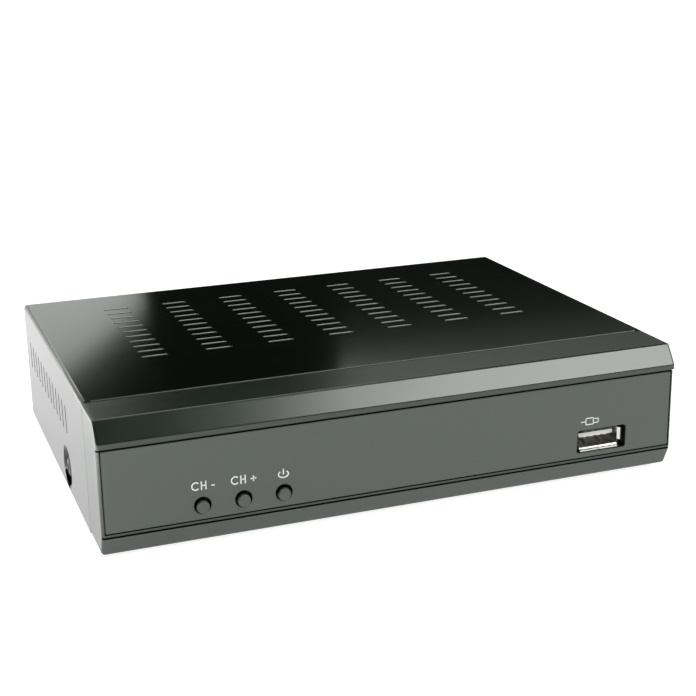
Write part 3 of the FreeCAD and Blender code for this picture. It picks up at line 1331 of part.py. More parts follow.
def bezel_screws():
    """Screws that come up through the base into the bezel's lugs."""
    return Part.makeCompound(mirrored(screw("z", lug_place(), 0, 1, LUG_SCREW_L)))


def av_screws():
    """Screws that hold the back plate to the 21-way socket."""
    made = []
    for side in (-1, 1):
        place = (AV_X + side * AV_SCREW_OUT, AV_Z)
        made.append(screw("y", place, BACK_OUT, -1, AV_SCREW_L, AV_SCREW_R, AV_HEAD_R))
    return Part.makeCompound(made)


def main_chip():
    """The main chip, on the board under its heat sink."""
    x, y = board_places(middle=[CHIP_MIDDLE])[0]
    return block(about(x, CHIP_W), about(y, CHIP_W), (BOARD_TOP, BOARD_TOP + CHIP_H))


def thermal_pad():
    """Soft pad between the main chip and its heat sink."""
    x, y = board_places(middle=[CHIP_MIDDLE])[0]
    low = BOARD_TOP + CHIP_H
    return block(about(x, CHIP_W), about(y, CHIP_W), (low, low + PAD_T))


def save(name, shape):
    """Writes one node, moved from the casing frame to the part's frame."""
    shape.translated(SHIFT).exportStep(f"parts/{name}.step")


def casing_nodes():
    """The shells, feet and the fasteners that hold them."""
    return {
        "top_cover": top_cover(),
        "base_chassis": base_chassis(),
        "front_bezel": front_bezel(),
        "front_panel": front_panel(),
        "rubber_feet": rubber_feet(),
        "cover_screws": cover_screws(),
        "bezel_screws": bezel_screws(),
    }


def front_nodes():
    """The front board and all that stands on it, with the keys ahead of it."""
    nodes = {
        "front_board": front_board(),
        "front_board_screws": front_board_screws(),
        "key_switches": Part.makeCompound([switch_body(x) for x in key_places()]),
        "remote_sensor": remote_sensor(),
        "standby_lamp": standby_lamp(),
        "data_port_shell": port_shell(),
        "data_port_housing": port_housing(),
        "data_port_contacts": port_contacts(),
        "ribbon_headers": ribbon_headers(),
        "ribbon_cable": ribbon_cable(),
    }
    for name, x in zip(KEY_NAMES, key_places()):
        nodes[f"{name}_key"] = key(x)
        nodes[f"{name}_stem"] = switch_stem(x)
    return nodes


def board_nodes():
    """The main board, its fasteners and the parts soldered to it."""
    memory = chips(board_places(middle=MEMORY_MIDDLE), MEMORY_SIZE)
    flash = chips(board_places(middle=FLASH_MIDDLE), FLASH_SIZE)
    regulators = chips(board_places(left=REGULATOR_LEFT, right=REGULATOR_RIGHT), REGULATOR_SIZE)
    large = [can(place, LARGE_CAN_R, LARGE_CAN_H) for place in board_places(left=LARGE_CAN_LEFT)]
    small = [can(place, SMALL_CAN_R, SMALL_CAN_H) for place in small_cans()]
    coils = [coil(place) for place in board_places(left=COIL_LEFT, right=COIL_RIGHT)]
    crystals = chips(board_places(middle=CRYSTAL_MIDDLE), CRYSTAL_SIZE)
    return {
        "main_board": main_board(),
        "board_standoffs": board_standoffs(),
        "board_screws": board_screws(),
        "main_chip": main_chip(),
        "thermal_pad": thermal_pad(),
        "heat_sink": heat_sink(),
        "memory_chips": Part.makeCompound(memory + flash),
        "regulator_chips": Part.makeCompound(regulators),
        "large_capacitors": Part.makeCompound(large),
        "small_capacitors": Part.makeCompound(small),
        "power_coils": Part.makeCompound(coils),
        "crystals": Part.makeCompound(crystals),
        "small_parts": small_parts(),
    }


def back_nodes():
    """The sockets and the power switch in the back."""
    nodes = {
        "tuner_can": tuner_can(),
        "tuner_lid": tuner_lid(),
        "tuner_chip": chips([(TUNER_X, TUNER_BACK - TUNER_D / 2)], TUNER_CHIP_SIZE)[0],
        "aerial_insulators": dish_insulators(),
        "aerial_contacts": dish_contacts(),
        "aerial_nuts": dish_nuts(),
        "aerial_washers": dish_washers(),
        "audio_socket_body": audio_body(),
        "audio_socket_ring": audio_ring(),
        "audio_socket_core": audio_core(),
        "audio_socket_contact": audio_contact(),
        "av_socket_housing": av_housing(),
        "av_socket_contacts": av_contacts(),
        "av_socket_screws": av_screws(),
        "video_socket_shell": video_shell(),
        "video_socket_tongue": video_tongue(),
        "video_socket_contacts": video_contacts(),
        "power_switch_housing": rocker_housing(),
        "power_switch_rocker": power_rocker(),
        "power_inlet_body": power_inlet(),
        "power_inlet_pin": power_pin(),
    }
    for name, x in zip(DISH_INPUTS, dish_places()):
        nodes[f"{name}_socket"] = dish_socket(x)
    return nodes


def main():
    """Builds every node and writes one STEP file for each."""
    os.makedirs("parts", exist_ok=True)
    for group in (casing_nodes(), front_nodes(), board_nodes(), back_nodes()):
        for name, shape in group.items():
            save(name, shape)


main()
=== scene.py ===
"""Looks of a compact satellite television receiver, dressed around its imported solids.

Sizes in the classes are millimetres in the casing's own frame: x to the right seen from the front,
y back from the front panel's face and z up from the casing's underside. Frame.place() moves a mesh
from there to the part's frame, in metres.
"""

import logging
import math
from abc import ABC, abstractmethod
from collections.abc import Mapping, Sequence
from dataclasses import dataclass, field
from enum import Enum

import bpy
import numpy as np
from mathutils import Matrix, Vector


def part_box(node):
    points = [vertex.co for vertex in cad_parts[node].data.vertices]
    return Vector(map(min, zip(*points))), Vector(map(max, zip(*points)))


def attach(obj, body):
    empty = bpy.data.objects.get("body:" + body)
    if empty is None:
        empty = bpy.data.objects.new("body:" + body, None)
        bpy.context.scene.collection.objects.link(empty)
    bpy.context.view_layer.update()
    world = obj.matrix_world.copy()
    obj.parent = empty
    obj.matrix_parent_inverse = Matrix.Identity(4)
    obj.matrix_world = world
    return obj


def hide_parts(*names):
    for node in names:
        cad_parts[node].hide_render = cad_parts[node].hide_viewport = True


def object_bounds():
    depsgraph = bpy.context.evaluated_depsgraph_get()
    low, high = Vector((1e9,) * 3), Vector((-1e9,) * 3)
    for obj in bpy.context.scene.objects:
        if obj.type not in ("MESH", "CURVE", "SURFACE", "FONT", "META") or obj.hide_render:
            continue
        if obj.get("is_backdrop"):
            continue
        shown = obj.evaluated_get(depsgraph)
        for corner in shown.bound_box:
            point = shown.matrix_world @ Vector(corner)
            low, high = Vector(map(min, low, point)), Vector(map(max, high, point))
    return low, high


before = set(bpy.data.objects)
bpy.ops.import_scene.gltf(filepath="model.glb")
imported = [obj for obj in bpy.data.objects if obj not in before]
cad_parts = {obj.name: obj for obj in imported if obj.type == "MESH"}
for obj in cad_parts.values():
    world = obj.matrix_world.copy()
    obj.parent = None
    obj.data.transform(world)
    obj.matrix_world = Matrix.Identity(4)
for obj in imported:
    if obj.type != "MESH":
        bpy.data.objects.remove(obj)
LOG = logging.getLogger("receiver")
MM = 0.001
Pair = tuple[float, float]
Point = tuple[float, float, float]
Color = tuple[float, float, float]
Node = bpy.types.Node
Tree = bpy.types.NodeTree
Socket = bpy.types.NodeSocket
Value = float | Sequence[float] | Socket
Inputs = Mapping[str | int, Value]
Start = tuple["Graph", Mapping[str, Socket], Mapping[str, Socket]]


# Meshes -----------------------------------------------------------------------------------------


@dataclass(frozen=True)
class Frame:
    """Where the casing's frame lies in the part's frame."""

    origin: np.ndarray

    @classmethod
    def from_solids(cls) -> "Frame":
        """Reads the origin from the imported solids: the panel's face and the base's underside."""
        face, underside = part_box("front_panel")[0].y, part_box("base_chassis")[0].z
        return cls(np.array((0.0, face, underside)))

    def place(self, points: np.ndarray) -> np.ndarray:
        """Millimetres in the casing's frame to metres in the part's frame."""
        return points * MM + self.origin


@dataclass
class Skin:
    """A surface before it becomes a mesh: its points, and its faces as rows of point numbers."""

    points: np.ndarray
    faces: list[np.ndarray]

    @classmethod
    def joined(cls, skins: Sequence["Skin"]) -> "Skin":
        """Puts several skins into one.

        Args:
            skins: the skins, each of which stays as it is.

        Returns:
            One skin, whose point numbers are shifted by the points before them.
        """
        starts = np.cumsum([0] + [len(skin.points) for skin in skins[:-1]])
        faces = [rows + start for skin, start in zip(skins, starts) for rows in skin.faces]
        return cls(np.concatenate([skin.points for skin in skins]), faces)

    def outward(self) -> "Skin":
        """Turns the faces over if the skin is inside out.

        The volume is a sixth of the sum, over all corners of the fans of each face, of the triple
        product of their points, and it's positive where faces point outwards.

        Returns:
            A skin with a positive volume.
        """
        volume = 0.0
        for rows in self.faces:
            corners = self.points[rows]
            fans = np.cross(corners[:, 1:-1], corners[:, 2:])
            volume += float((corners[:, :1] * fans).sum())
        return self if volume > 0 else Skin(self.points, [rows[:, ::-1] for rows in self.faces])

    def bake(self, name: str, where: Frame, smooth: bool) -> bpy.types.Object:
        """Makes the mesh object.

        Args:
            name: the object's and the mesh's name.
            where: places the skin in the part's frame.
            smooth: shades the faces smoothly.

        Returns:
            The new object, at the origin, with its place in its mesh.
        """
        sizes = np.concatenate([np.full(len(rows), rows.shape[1]) for rows in self.faces])
        loops = np.concatenate([rows.ravel() for rows in self.faces])
        mesh = bpy.data.meshes.new(name)
        mesh.vertices.add(len(self.points))
        mesh.vertices.foreach_set("co", where.place(self.points).astype(np.float32).ravel())
        mesh.loops.add(len(loops))
        mesh.loops.foreach_set("vertex_index", loops.astype(np.int32))
        mesh.polygons.add(len(sizes))
        mesh.polygons.foreach_set("loop_start", (np.cumsum(sizes) - sizes).astype(np.int32))
        mesh.polygons.foreach_set("use_smooth", np.full(len(sizes), smooth))
        mesh.update(calc_edges=True)
        mesh.validate()
        made = bpy.data.objects.new(name, mesh)
        bpy.context.scene.collection.objects.link(made)
        return made


def quads(rows: int, columns: int, ring: bool) -> np.ndarray:
    """Faces of a grid whose columns close on themselves.

    Args:
        rows: how many rows of points the grid has.
        columns: how many points each row has, the last joined to the first.
        ring: whether the last row is joined to the first too.

    Returns:
        Four point numbers for each face, counting the points row by row.
    """
    steps = rows if ring else rows - 1
    row, column = np.meshgrid(np.arange(steps), np.arange(columns), indexing="ij")
    after, beside = (row + 1) % rows, (column + 1) % columns
    near, far = row * columns, after * columns
    return np.stack((near + column, near + beside, far + beside, far + column), axis=-1).reshape(-1, 4)


@dataclass(frozen=True)
class Plane:
    """A flat place for printed marks: u to the right and v up, as a reader sees them."""

    origin: Point
    right: Point
    up: Point

    def lift(self, flat: np.ndarray) -> np.ndarray:
        """Carries (u, v, w) to (x, y, z).

        A point is the origin, plus u times right, plus v times up, plus w times their cross product,
        which points at the reader.

        Args:
            flat: rows of (u, v, w).

        Returns:
            Rows of (x, y, z).
        """
        axes = np.array((self.right, self.up, np.cross(self.right, self.up)))
        return np.array(self.origin) + flat @ axes


@dataclass(frozen=True)
class Stroke:
    """A line of printing ink along a path on a plane."""

    path: np.ndarray
    width: float
    film: float = 0.03

    @classmethod
    def bar(cls, start: Pair, end: Pair, width: float) -> "Stroke":
        """A straight line from start to end."""
        return cls(np.linspace(start, end, 2), width)

    @classmethod
    def arc(cls, middle: Pair, radii: Pair, span: Pair, width: float) -> "Stroke":
        """A part of an ellipse.

        Each point is the middle plus the two radii times the cosine and sine of an angle, which runs
        evenly from the first to the second limit in steps of at most about 6 degrees.

        Args:
            middle: the ellipse's centre.
            radii: its half width and half height.
            span: the first and last angle, in degrees from the right, turning up.
            width: the line's width.

        Returns:
            The line along that part.
        """
        angle = np.radians(np.linspace(*span, 2 + int(abs(span[1] - span[0]) / 6)))
        path = np.stack((np.cos(angle), np.sin(angle)), axis=-1) * radii + middle
        return cls(path, width)

    def skin(self) -> Skin:
        """Sweeps a flat oblong along the path.

        A point is the path's point, plus or minus half the width along the path's normal, on the
        plane or one film above it. The ends are closed with one face each.

        Returns:
            A closed skin of (u, v, w) points.
        """
        along = np.gradient(self.path, axis=0)
        along /= np.linalg.norm(along, axis=1, keepdims=True)
        across = np.stack((-along[:, 1], along[:, 0]), axis=-1) * self.width / 2
        side = np.array((1.0, -1.0, -1.0, 1.0))
        height = np.array((0.0, 0.0, 1.0, 1.0)) * self.film
        flat = self.path[:, None, :] + across[:, None, :] * side[None, :, None]
        level = np.broadcast_to(height, flat.shape[:2])
        points = np.concatenate((flat, level[..., None]), axis=-1).reshape(-1, 3)
        count = len(self.path)
        ends = np.array(((3, 2, 1, 0), tuple(4 * (count - 1) + np.arange(4))))
        return Skin(points, [quads(count, 4, ring=False), ends])


@dataclass
class Mark:
    """A group of strokes on one plane."""

    plane: Plane
    strokes: list[Stroke]

    def skin(self) -> Skin:
        """The strokes' skins, lifted off the plane."""
        skins = [stroke.skin() for stroke in self.strokes]
        return Skin.joined([Skin(self.plane.lift(skin.points), skin.faces).outward() for skin in skins])


# Materials --------------------------------------------------------------------------------------


@dataclass
class Graph:
    """A shader tree, with short calls that add its nodes and join them."""

    tree: Tree

    def node(self, kind: str, inputs: Inputs | None = None, **settings: object) -> Node:
        """Adds a node.

        Args:
            kind: Blender's name for it, without ShaderNode before it.
            inputs: for each input, a value or the output that feeds it.
            settings: the node's own properties.

        Returns:
            The node.
        """
        made = self.tree.nodes.new("ShaderNode" + kind)
        for name, value in settings.items():
            setattr(made, name, value)
        for name, value in (inputs or {}).items():
            self.feed(made.inputs[name], value)
        return made

    def feed(self, socket: Socket, value: Value) -> None:
        """Gives an input a value, or joins another node's output to it.

        Args:
            socket: the input.
            value: the value, or the output.
        """
        if isinstance(value, Socket):
            self.tree.links.new(value, socket)
        else:
            socket.default_value = value

    def math(self, operation: str, first: Value, second: Value = 0.0, third: Value = 0.0) -> Socket:
        """One step of arithmetic on numbers."""
        return self.node("Math", {0: first, 1: second, 2: third}, operation=operation).outputs[0]

    def ramp(self, value: Value, limits: Pair) -> Socket:
        """0 up to the first limit and 1 from the second on, with an even rise between them."""
        inputs = {"Value": value, "From Min": limits[0], "From Max": limits[1]}
        return self.node("MapRange", inputs).outputs[0]

    def normal(self) -> Socket:
        """The surface's normal."""
        return self.node("NewGeometry").outputs["Normal"]

    def axis(self, vector: Value, index: int) -> Socket:
        """One coordinate of a vector."""
        return self.node("SeparateXYZ", {0: vector}).outputs[index]

    def vector(self, operation: str, first: Value, second: Value = (0.0, 0.0, 0.0)) -> Socket:
        """One step of arithmetic on vectors."""
        return self.node("VectorMath", {0: first, 1: second}, operation=operation).outputs[0]

    def scaled(self, vector: Value, factor: Value) -> Socket:
        """A vector or colour times a number."""
        return self.node("VectorMath", {0: vector, 3: factor}, operation="SCALE").outputs[0]

    def blend(self, share: Value, first: Value, second: Value) -> Socket:
        """The first colour where share is 0, and the second where it's 1."""
        return self.node("Mix", {0: share, 6: first, 7: second}, data_type="RGBA").outputs[2]

    def noise(self, vector: Value, scale: Value, detail: float = 2.0) -> Socket:
        """Cloudy noise from 0 to 1."""
        return self.node("TexNoise", {"Vector": vector, "Scale": scale, "Detail": detail}).outputs["Fac"]

    def group(self, tree: Tree, inputs: Inputs) -> Mapping[str, Socket]:
        """Places a shared effect, and gives its outputs."""
        return self.node("Group", inputs, node_tree=tree).outputs


@dataclass
class Effects:
    """The shader node groups that the finishes share. The fields are the numbers inside them."""

    tips: Pair = (0.5, 0.75)  # heights of the grain where its light tips start and are full
    cloud_detail: float = 3.0  # how many finer noises lie over the first, in patches and grain
    mark_detail: float = 4.0  # the same in brush marks
    dust_detail: float = 6.0  # the same in dust
    mark_share: float = 0.25  # a brush mark's width over a streak's
    dust_clouds: float = 140.0  # how many clouds of dust fit in a metre
    dust_breaks: Pair = (0.42, 0.72)  # noise where the dust starts and is full
    dust_level: Pair = (0.4, 1.0)  # how far up a face looks where the dust starts and is full
    dust_color: Color = (0.4, 0.39, 0.36)
    track_half: float = 0.3  # half of the gap between two tracks, in pitches
    track_cells: float = 0.7  # share of the cells that have tracks
    pads: float = 1.6  # how many pads a cell has along each side
    pad: float = 0.13  # a pad's radius, in their spacing
    level: float = 0.9  # a face that looks up more than this is no cut edge

    def __post_init__(self) -> None:
        """Builds each group once."""
        self.tone = self._tone()
        self.grain = self._grain()
        self.brushed = self._brushed()
        self.dust = self._dust()
        self.tracks = self._tracks()
        self.cut_edge = self._cut_edge()
        self.dim = self._dim()

    @staticmethod
    def _start(name: str, takes: Mapping[str, str], gives: Mapping[str, str]) -> Start:
        """Starts a group with named sockets.

        Args:
            name: the group's name.
            takes: each input's name and kind, such as Float.
            gives: each output's name and kind.

        Returns:
            The group's graph, what comes in and what goes out.
        """
        tree = bpy.data.node_groups.new(name, "ShaderNodeTree")
        for way, sockets in (("INPUT", takes), ("OUTPUT", gives)):
            for label, kind in sockets.items():
                tree.interface.new_socket(name=label, in_out=way, socket_type="NodeSocket" + kind)
        return Graph(tree), tree.nodes.new("NodeGroupInput").outputs, tree.nodes.new("NodeGroupOutput").inputs

    def _tone(self) -> Tree:
        """Slow unevenness: a colour that is lighter and darker in patches, and a gloss that goes with it.

        The swing is a cloudy noise less a half. The colour is multiplied by one plus Spread times the
        swing, and Gloss Spread times the swing is added to the roughness.

        Returns:
            The group.
        """
        takes = {"Vector": "Vector", "Patch": "Float", "Color": "Color", "Spread": "Float"}
        takes |= {"Roughness": "Float", "Gloss Spread": "Float"}
        graph, given, made = self._start("slow_tone", takes, {"Color": "Color", "Roughness": "Float"})
        cloud = graph.noise(given["Vector"], graph.math("DIVIDE", 1.0, given["Patch"]), self.cloud_detail)
        swing = graph.math("SUBTRACT", cloud, 0.5)
        light = graph.math("MULTIPLY_ADD", swing, given["Spread"], 1.0)
        gloss = graph.math("MULTIPLY_ADD", swing, given["Gloss Spread"], given["Roughness"])
        graph.feed(made["Color"], graph.scaled(given["Color"], light))
        graph.feed(made["Roughness"], gloss)
        return graph.tree

    def _grain(self) -> Tree:
        """Fine texture of a mould or a coating, as a noise for its height, with lighter tips.

        Returns:
            The group.
        """
        takes = {"Vector": "Vector", "Size": "Float", "Color": "Color", "Tips": "Float"}
        graph, given, made = self._start("fine_grain", takes, {"Height": "Float", "Color": "Color"})
        fine = graph.noise(given["Vector"], graph.math("DIVIDE", 1.0, given["Size"]), self.cloud_detail)
        light = graph.math("MULTIPLY_ADD", graph.ramp(fine, self.tips), given["Tips"], 1.0)
        graph.feed(made["Height"], fine)
        graph.feed(made["Color"], graph.scaled(given["Color"], light))
        return graph.tree

    def _brushed(self) -> Tree:
        """Long fine marks of drawing or rolling: noise whose space is stretched by Stretch.

        Returns:
            The group, whose streaks are wider than its marks.
        """
        takes = {"Vector": "Vector", "Stretch": "Vector", "Size": "Float"}
        graph, given, made = self._start("brush_marks", takes, {"Height": "Float", "Streak": "Float"})
        space = graph.vector("MULTIPLY", given["Vector"], given["Stretch"])
        scale = graph.math("DIVIDE", 1.0, given["Size"])
        graph.feed(made["Height"], graph.noise(space, scale, self.mark_detail))
        graph.feed(made["Streak"], graph.noise(space, graph.math("MULTIPLY", scale, self.mark_share)))
        return graph.tree

    def _dust(self) -> Tree:
        """Thin dust on faces that look up, from the height of the face's normal and a broken noise.

        Returns:
            The group.
        """
        takes = {"Vector": "Vector", "Up": "Float", "Color": "Color", "Amount": "Float"}
        graph, given, made = self._start("thin_dust", takes, {"Color": "Color", "Mask": "Float"})
        clouds = graph.noise(given["Vector"], self.dust_clouds, self.dust_detail)
        broken = graph.ramp(clouds, self.dust_breaks)
        level = graph.ramp(given["Up"], self.dust_level)
        mask = graph.math("MULTIPLY", graph.math("MULTIPLY", broken, level), given["Amount"])
        graph.feed(made["Mask"], mask)
        graph.feed(made["Color"], graph.blend(mask, given["Color"], (*self.dust_color, 1.0)))
        return graph.tree

    def _tracks(self) -> Tree:
        """Copper under solder mask: parallel tracks that change direction from cell to cell, and round pads.

        A cell's own random number picks whether its stripes follow x or y, and what seven times it has
        after the point picks whether it has any. A pad is where the nearest of a set of scattered points
        is closer than the pad's radius.

        Returns:
            The group.
        """
        takes = {"Vector": "Vector", "Cell": "Float", "Pitch": "Float"}
        graph, given, made = self._start("copper_tracks", takes, {"Track": "Float", "Pad": "Float"})
        flat = graph.vector("MULTIPLY", given["Vector"], (1.0, 1.0, 0.0))
        cells = graph.scaled(flat, graph.math("DIVIDE", 1.0, given["Cell"]))
        lines = graph.scaled(flat, graph.math("DIVIDE", 1.0, given["Pitch"]))
        pick = graph.node("TexWhiteNoise", {"Vector": graph.vector("FLOOR", cells)}).outputs["Value"]
        turn = graph.math("GREATER_THAN", pick, 0.5)
        line = graph.node("Mix", {0: turn, 2: graph.axis(lines, 0), 3: graph.axis(lines, 1)}).outputs[0]
        stripe = graph.math("GREATER_THAN", graph.math("PINGPONG", line, 0.5), self.track_half)
        other = graph.math("FRACT", graph.math("MULTIPLY", pick, 7.0))
        kept = graph.math("LESS_THAN", other, self.track_cells)
        spots = graph.node("TexVoronoi", {"Vector": cells, "Scale": self.pads}, voronoi_dimensions="2D")
        graph.feed(made["Track"], graph.math("MULTIPLY", stripe, kept))
        graph.feed(made["Pad"], graph.math("LESS_THAN", spots.outputs["Distance"], self.pad))
        return graph.tree

    def _cut_edge(self) -> Tree:
        """Bare metal where a lid is cut through.

        A point belongs to a cut edge if it lies higher than Under and nearer the middle than Bend and
        Rear, and its face doesn't look straight up.

        Returns:
            The group.
        """
        takes = {"Vector": "Vector", "Normal": "Vector", "Color": "Color", "Metal": "Color"}
        takes |= {"Under": "Float", "Bend": "Float", "Rear": "Float"}
        graph, given, made = self._start("cut_edge", takes, {"Color": "Color", "Mask": "Float"})
        across, along, height = (graph.axis(given["Vector"], index) for index in range(3))
        mask = graph.math("LESS_THAN", graph.axis(given["Normal"], 2), self.level)
        for low, high in (
            (given["Under"], height),
            (graph.math("ABSOLUTE", across), given["Bend"]),
            (along, given["Rear"]),
        ):
            mask = graph.math("MULTIPLY", mask, graph.math("LESS_THAN", low, high))
        graph.feed(made["Mask"], mask)
        graph.feed(made["Color"], graph.blend(mask, given["Color"], given["Metal"]))
        return graph.tree

    def _dim(self) -> Tree:
        """A colour that is darkened to Shade of its strength where Value is over Above.

        Returns:
            The group.
        """
        takes = {"Value": "Float", "Above": "Float", "Color": "Color", "Shade": "Float"}
        graph, given, made = self._start("dim_where", takes, {"Color": "Color"})
        over = graph.math("GREATER_THAN", given["Value"], given["Above"])
        dark = graph.scaled(given["Color"], given["Shade"])
        graph.feed(made["Color"], graph.blend(over, given["Color"], dark))
        return graph.tree


@dataclass
class Coat:
    """A material while it's made: its graph, its shader, the object's coordinates and the effects."""

    graph: Graph
    shader: Node
    place: Socket
    effects: Effects
    roughness: float
    patch: float = 0.018  # size of the uneven patches, in metres
    gloss_swing: float = 0.25  # share of the roughness that swings with them

    def feed(self, name: str, value: Value) -> None:
        """Gives one of the shader's inputs a value, or joins an output to it."""
        self.graph.feed(self.shader.inputs[name], value)

    def fed(self, name: str) -> Socket:
        """The output that feeds one of the shader's inputs."""
        return self.shader.inputs[name].links[0].from_socket

    def tone(self, color: Value, spread: float) -> None:
        """Feeds the shader a colour and a gloss with slow unevenness.

        Args:
            color: the colour before it's made uneven.
            spread: how much lighter and darker it gets.
        """
        inputs = {"Vector": self.place, "Patch": self.patch, "Color": color, "Spread": spread}
        inputs |= {"Roughness": self.roughness, "Gloss Spread": self.roughness * self.gloss_swing}
        made = self.graph.group(self.effects.tone, inputs)
        self.feed("Base Color", made["Color"])
        self.feed("Roughness", made["Roughness"])

    def relief(self, height: Value, depth: float) -> None:
        """Feeds the shader's normal from a height that rises by depth metres from 0 to 1."""
        bump = self.graph.node("Bump", {"Height": height, "Distance": depth, "Strength": 1.0})
        self.feed("Normal", bump.outputs["Normal"])

    def dim(self, value: Value, above: float, shade: float) -> None:
        """Darkens the shader's colour to shade of its strength where a value is over a limit."""
        inputs = {"Value": value, "Above": above, "Color": self.fed("Base Color"), "Shade": shade}
        self.feed("Base Color", self.graph.group(self.effects.dim, inputs)["Color"])

    def forwards(self, vector: Value) -> Socket:
        """How far a vector reaches to the front."""
        return self.graph.math("MULTIPLY", self.graph.axis(vector, 1), -1.0)


@dataclass(frozen=True)
class Finish(ABC):
    """A surface finish: its name, its colour and its roughness."""

    name: str
    color: Color
    roughness: float

    def material(self, effects: Effects) -> bpy.types.Material:
        """Builds the finish.

        Args:
            effects: the shared node groups.

        Returns:
            A material with one Principled shader that the finish's own detail feeds.
        """
        made = bpy.data.materials.new(self.name)
        made.use_nodes = True
        made.node_tree.nodes.clear()
        graph = Graph(made.node_tree)
        shader = graph.node("BsdfPrincipled", {"Roughness": self.roughness, "Base Color": self.rgba()})
        graph.node("OutputMaterial", {"Surface": shader.outputs[0]})
        self.detail(Coat(graph, shader, graph.node("TexCoord").outputs["Object"], effects, self.roughness))
        return made

    def rgba(self) -> tuple[float, float, float, float]:
        """The colour as a colour socket takes it."""
        return (*self.color, 1.0)

    @abstractmethod
    def detail(self, coat: Coat) -> None:
        """Adds the nodes that give the finish its detail, and joins them to the coat's shader."""


@dataclass(frozen=True)
class Moulded(Finish):
    """Moulded plastic or rubber, or a coating, with a fine texture.

    grain is the texture's size and depth its height, in metres, tips how much lighter its high points
    are, spread the colour's slow unevenness and dust how much dust faces that look up hold.
    """

    grain: float = 0.00035
    depth: float = 0.000004
    tips: float = 0.06
    spread: float = 0.12
    dust: float = 0.004
    specular: float = 0.5

    def detail(self, coat: Coat) -> None:
        """Grain lightens the colour and gives the relief, then dust and unevenness go over it.

        Args:
            coat: the material while it's made.
        """
        inputs = {"Vector": coat.place, "Size": self.grain, "Color": self.rgba(), "Tips": self.tips}
        grain = coat.graph.group(coat.effects.grain, inputs)
        up = coat.graph.axis(coat.graph.normal(), 2)
        inputs = {"Vector": coat.place, "Up": up, "Color": grain["Color"], "Amount": self.dust}
        coat.tone(coat.graph.group(coat.effects.dust, inputs)["Color"], self.spread)
        coat.relief(grain["Height"], self.depth)
        coat.feed("Specular IOR Level", self.specular)


@dataclass(frozen=True)
class GapShadedPlastic(Moulded):
    """Moulded plastic of the front, with painted shade in the gaps behind the panel's face.

    face is where the painted shade starts, in metres towards the back, and shade the part of the colour left
    there.
    """

    face: float = -0.0656
    shade: float = 0.12

    def detail(self, coat: Coat) -> None:
        """The plastic's own detail, and painted shade over it in the gaps."""
        super().detail(coat)
        # painted shade: the colour is darkened in the gaps behind the panel's face
        coat.dim(coat.graph.axis(coat.place, 1), self.face, self.shade)


@dataclass(frozen=True)
class CoatedSheet(Moulded):
    """Coated steel sheet whose cut edges are bare.

    under is the height of the lid's underside, bend how far from the middle the lid starts to round
    over its sides, and rear how far back its edges are bare, all in metres. The edge that lies further
    forward than front has only front_shade of the metal's strength.
    """

    metal: Color = (0.72, 0.74, 0.71)
    metal_roughness: float = 0.3
    under: float = 0.0381
    bend: float = 0.0815
    rear: float = 0.0645
    front: float = 0.0477
    front_shade: float = 0.4

    def detail(self, coat: Coat) -> None:
        """The coating's own detail, and metal over it at the cut edges.

        Args:
            coat: the material while it's made.
        """
        super().detail(coat)
        gloss = coat.fed("Roughness")
        inputs = {"Vector": coat.place, "Normal": coat.graph.normal(), "Color": coat.fed("Base Color")}
        inputs |= {"Metal": (*self.metal, 1.0), "Under": self.under, "Bend": self.bend, "Rear": self.rear}
        edge = coat.graph.group(coat.effects.cut_edge, inputs)
        coat.feed("Base Color", edge["Color"])
        coat.feed("Metallic", edge["Mask"])
        rougher = self.metal_roughness - self.roughness
        coat.feed("Roughness", coat.graph.math("MULTIPLY_ADD", edge["Mask"], rougher, gloss))
        coat.dim(coat.forwards(coat.place), self.front, self.front_shade)


class Lay(Enum):
    """Which way a metal's brush marks run, as the stretch of the noise's space along x, y and z."""

    NONE = (1.0, 1.0, 1.0)
    ALONG_X = (0.04, 1.0, 1.0)
    ALONG_Y = (1.0, 0.04, 1.0)
    ALONG_Z = (1.0, 1.0, 0.04)


@dataclass(frozen=True)
class Metal(Finish):
    """Bare or plated metal with brush marks, and a tarnish that darkens it in patches.

    size is the marks' width and depth their height, in metres, and streak how far the colour swings
    with them.
    """

    lay: Lay = Lay.NONE
    size: float = 0.0002
    depth: float = 0.000003
    tarnish: float = 0.3
    streak: float = 0.3

    def detail(self, coat: Coat) -> None:
        """Brush marks give the relief and faint streaks, and unevenness goes over them.

        Args:
            coat: the material while it's made.
        """
        inputs = {"Vector": coat.place, "Stretch": self.lay.value, "Size": self.size}
        marks = coat.graph.group(coat.effects.brushed, inputs)
        light = coat.graph.math("MULTIPLY_ADD", marks["Streak"], self.streak, 1.0 - self.streak / 2)
        coat.tone(coat.graph.scaled(self.color, light), self.tarnish)
        coat.relief(marks["Height"], self.depth)
        coat.feed("Metallic", 1.0)


@dataclass(frozen=True)
class PlatedSheet(Metal):
    """Plated sheet that is cut through at the front, where its bare edge is darkened, partly for the dull cut
    and partly as painted shade in the gap beside it.

    shade is the part of the colour left there, shaded_above the height over which the forward edge is
    darkened, bend the height of a painted dark line of shade along the bend and bend_half half of that line's
    width, in metres. A face belongs to the edge if it looks forwards by more than facing.
    """

    shade: float = 0.06
    shaded_above: float = 0.0107
    bend: float = 0.0109
    bend_half: float = 0.0001
    facing: float = 0.9

    def detail(self, coat: Coat) -> None:
        """The plating's detail, and painted shade over it: a dark line along the bend, and darker faces that
        look forwards.

        Args:
            coat: the material while it's made.
        """
        super().detail(coat)
        # painted shade: forward faces above shaded_above, and a thin line along the bend, are darkened
        height = coat.graph.axis(coat.place, 2)
        kept = coat.graph.math("GREATER_THAN", height, self.shaded_above)
        edge = coat.graph.math("MULTIPLY", coat.forwards(coat.graph.normal()), kept)
        coat.dim(edge, self.facing, self.shade)
        coat.dim(coat.graph.math("COMPARE", height, self.bend, self.bend_half), 0.5, self.shade)


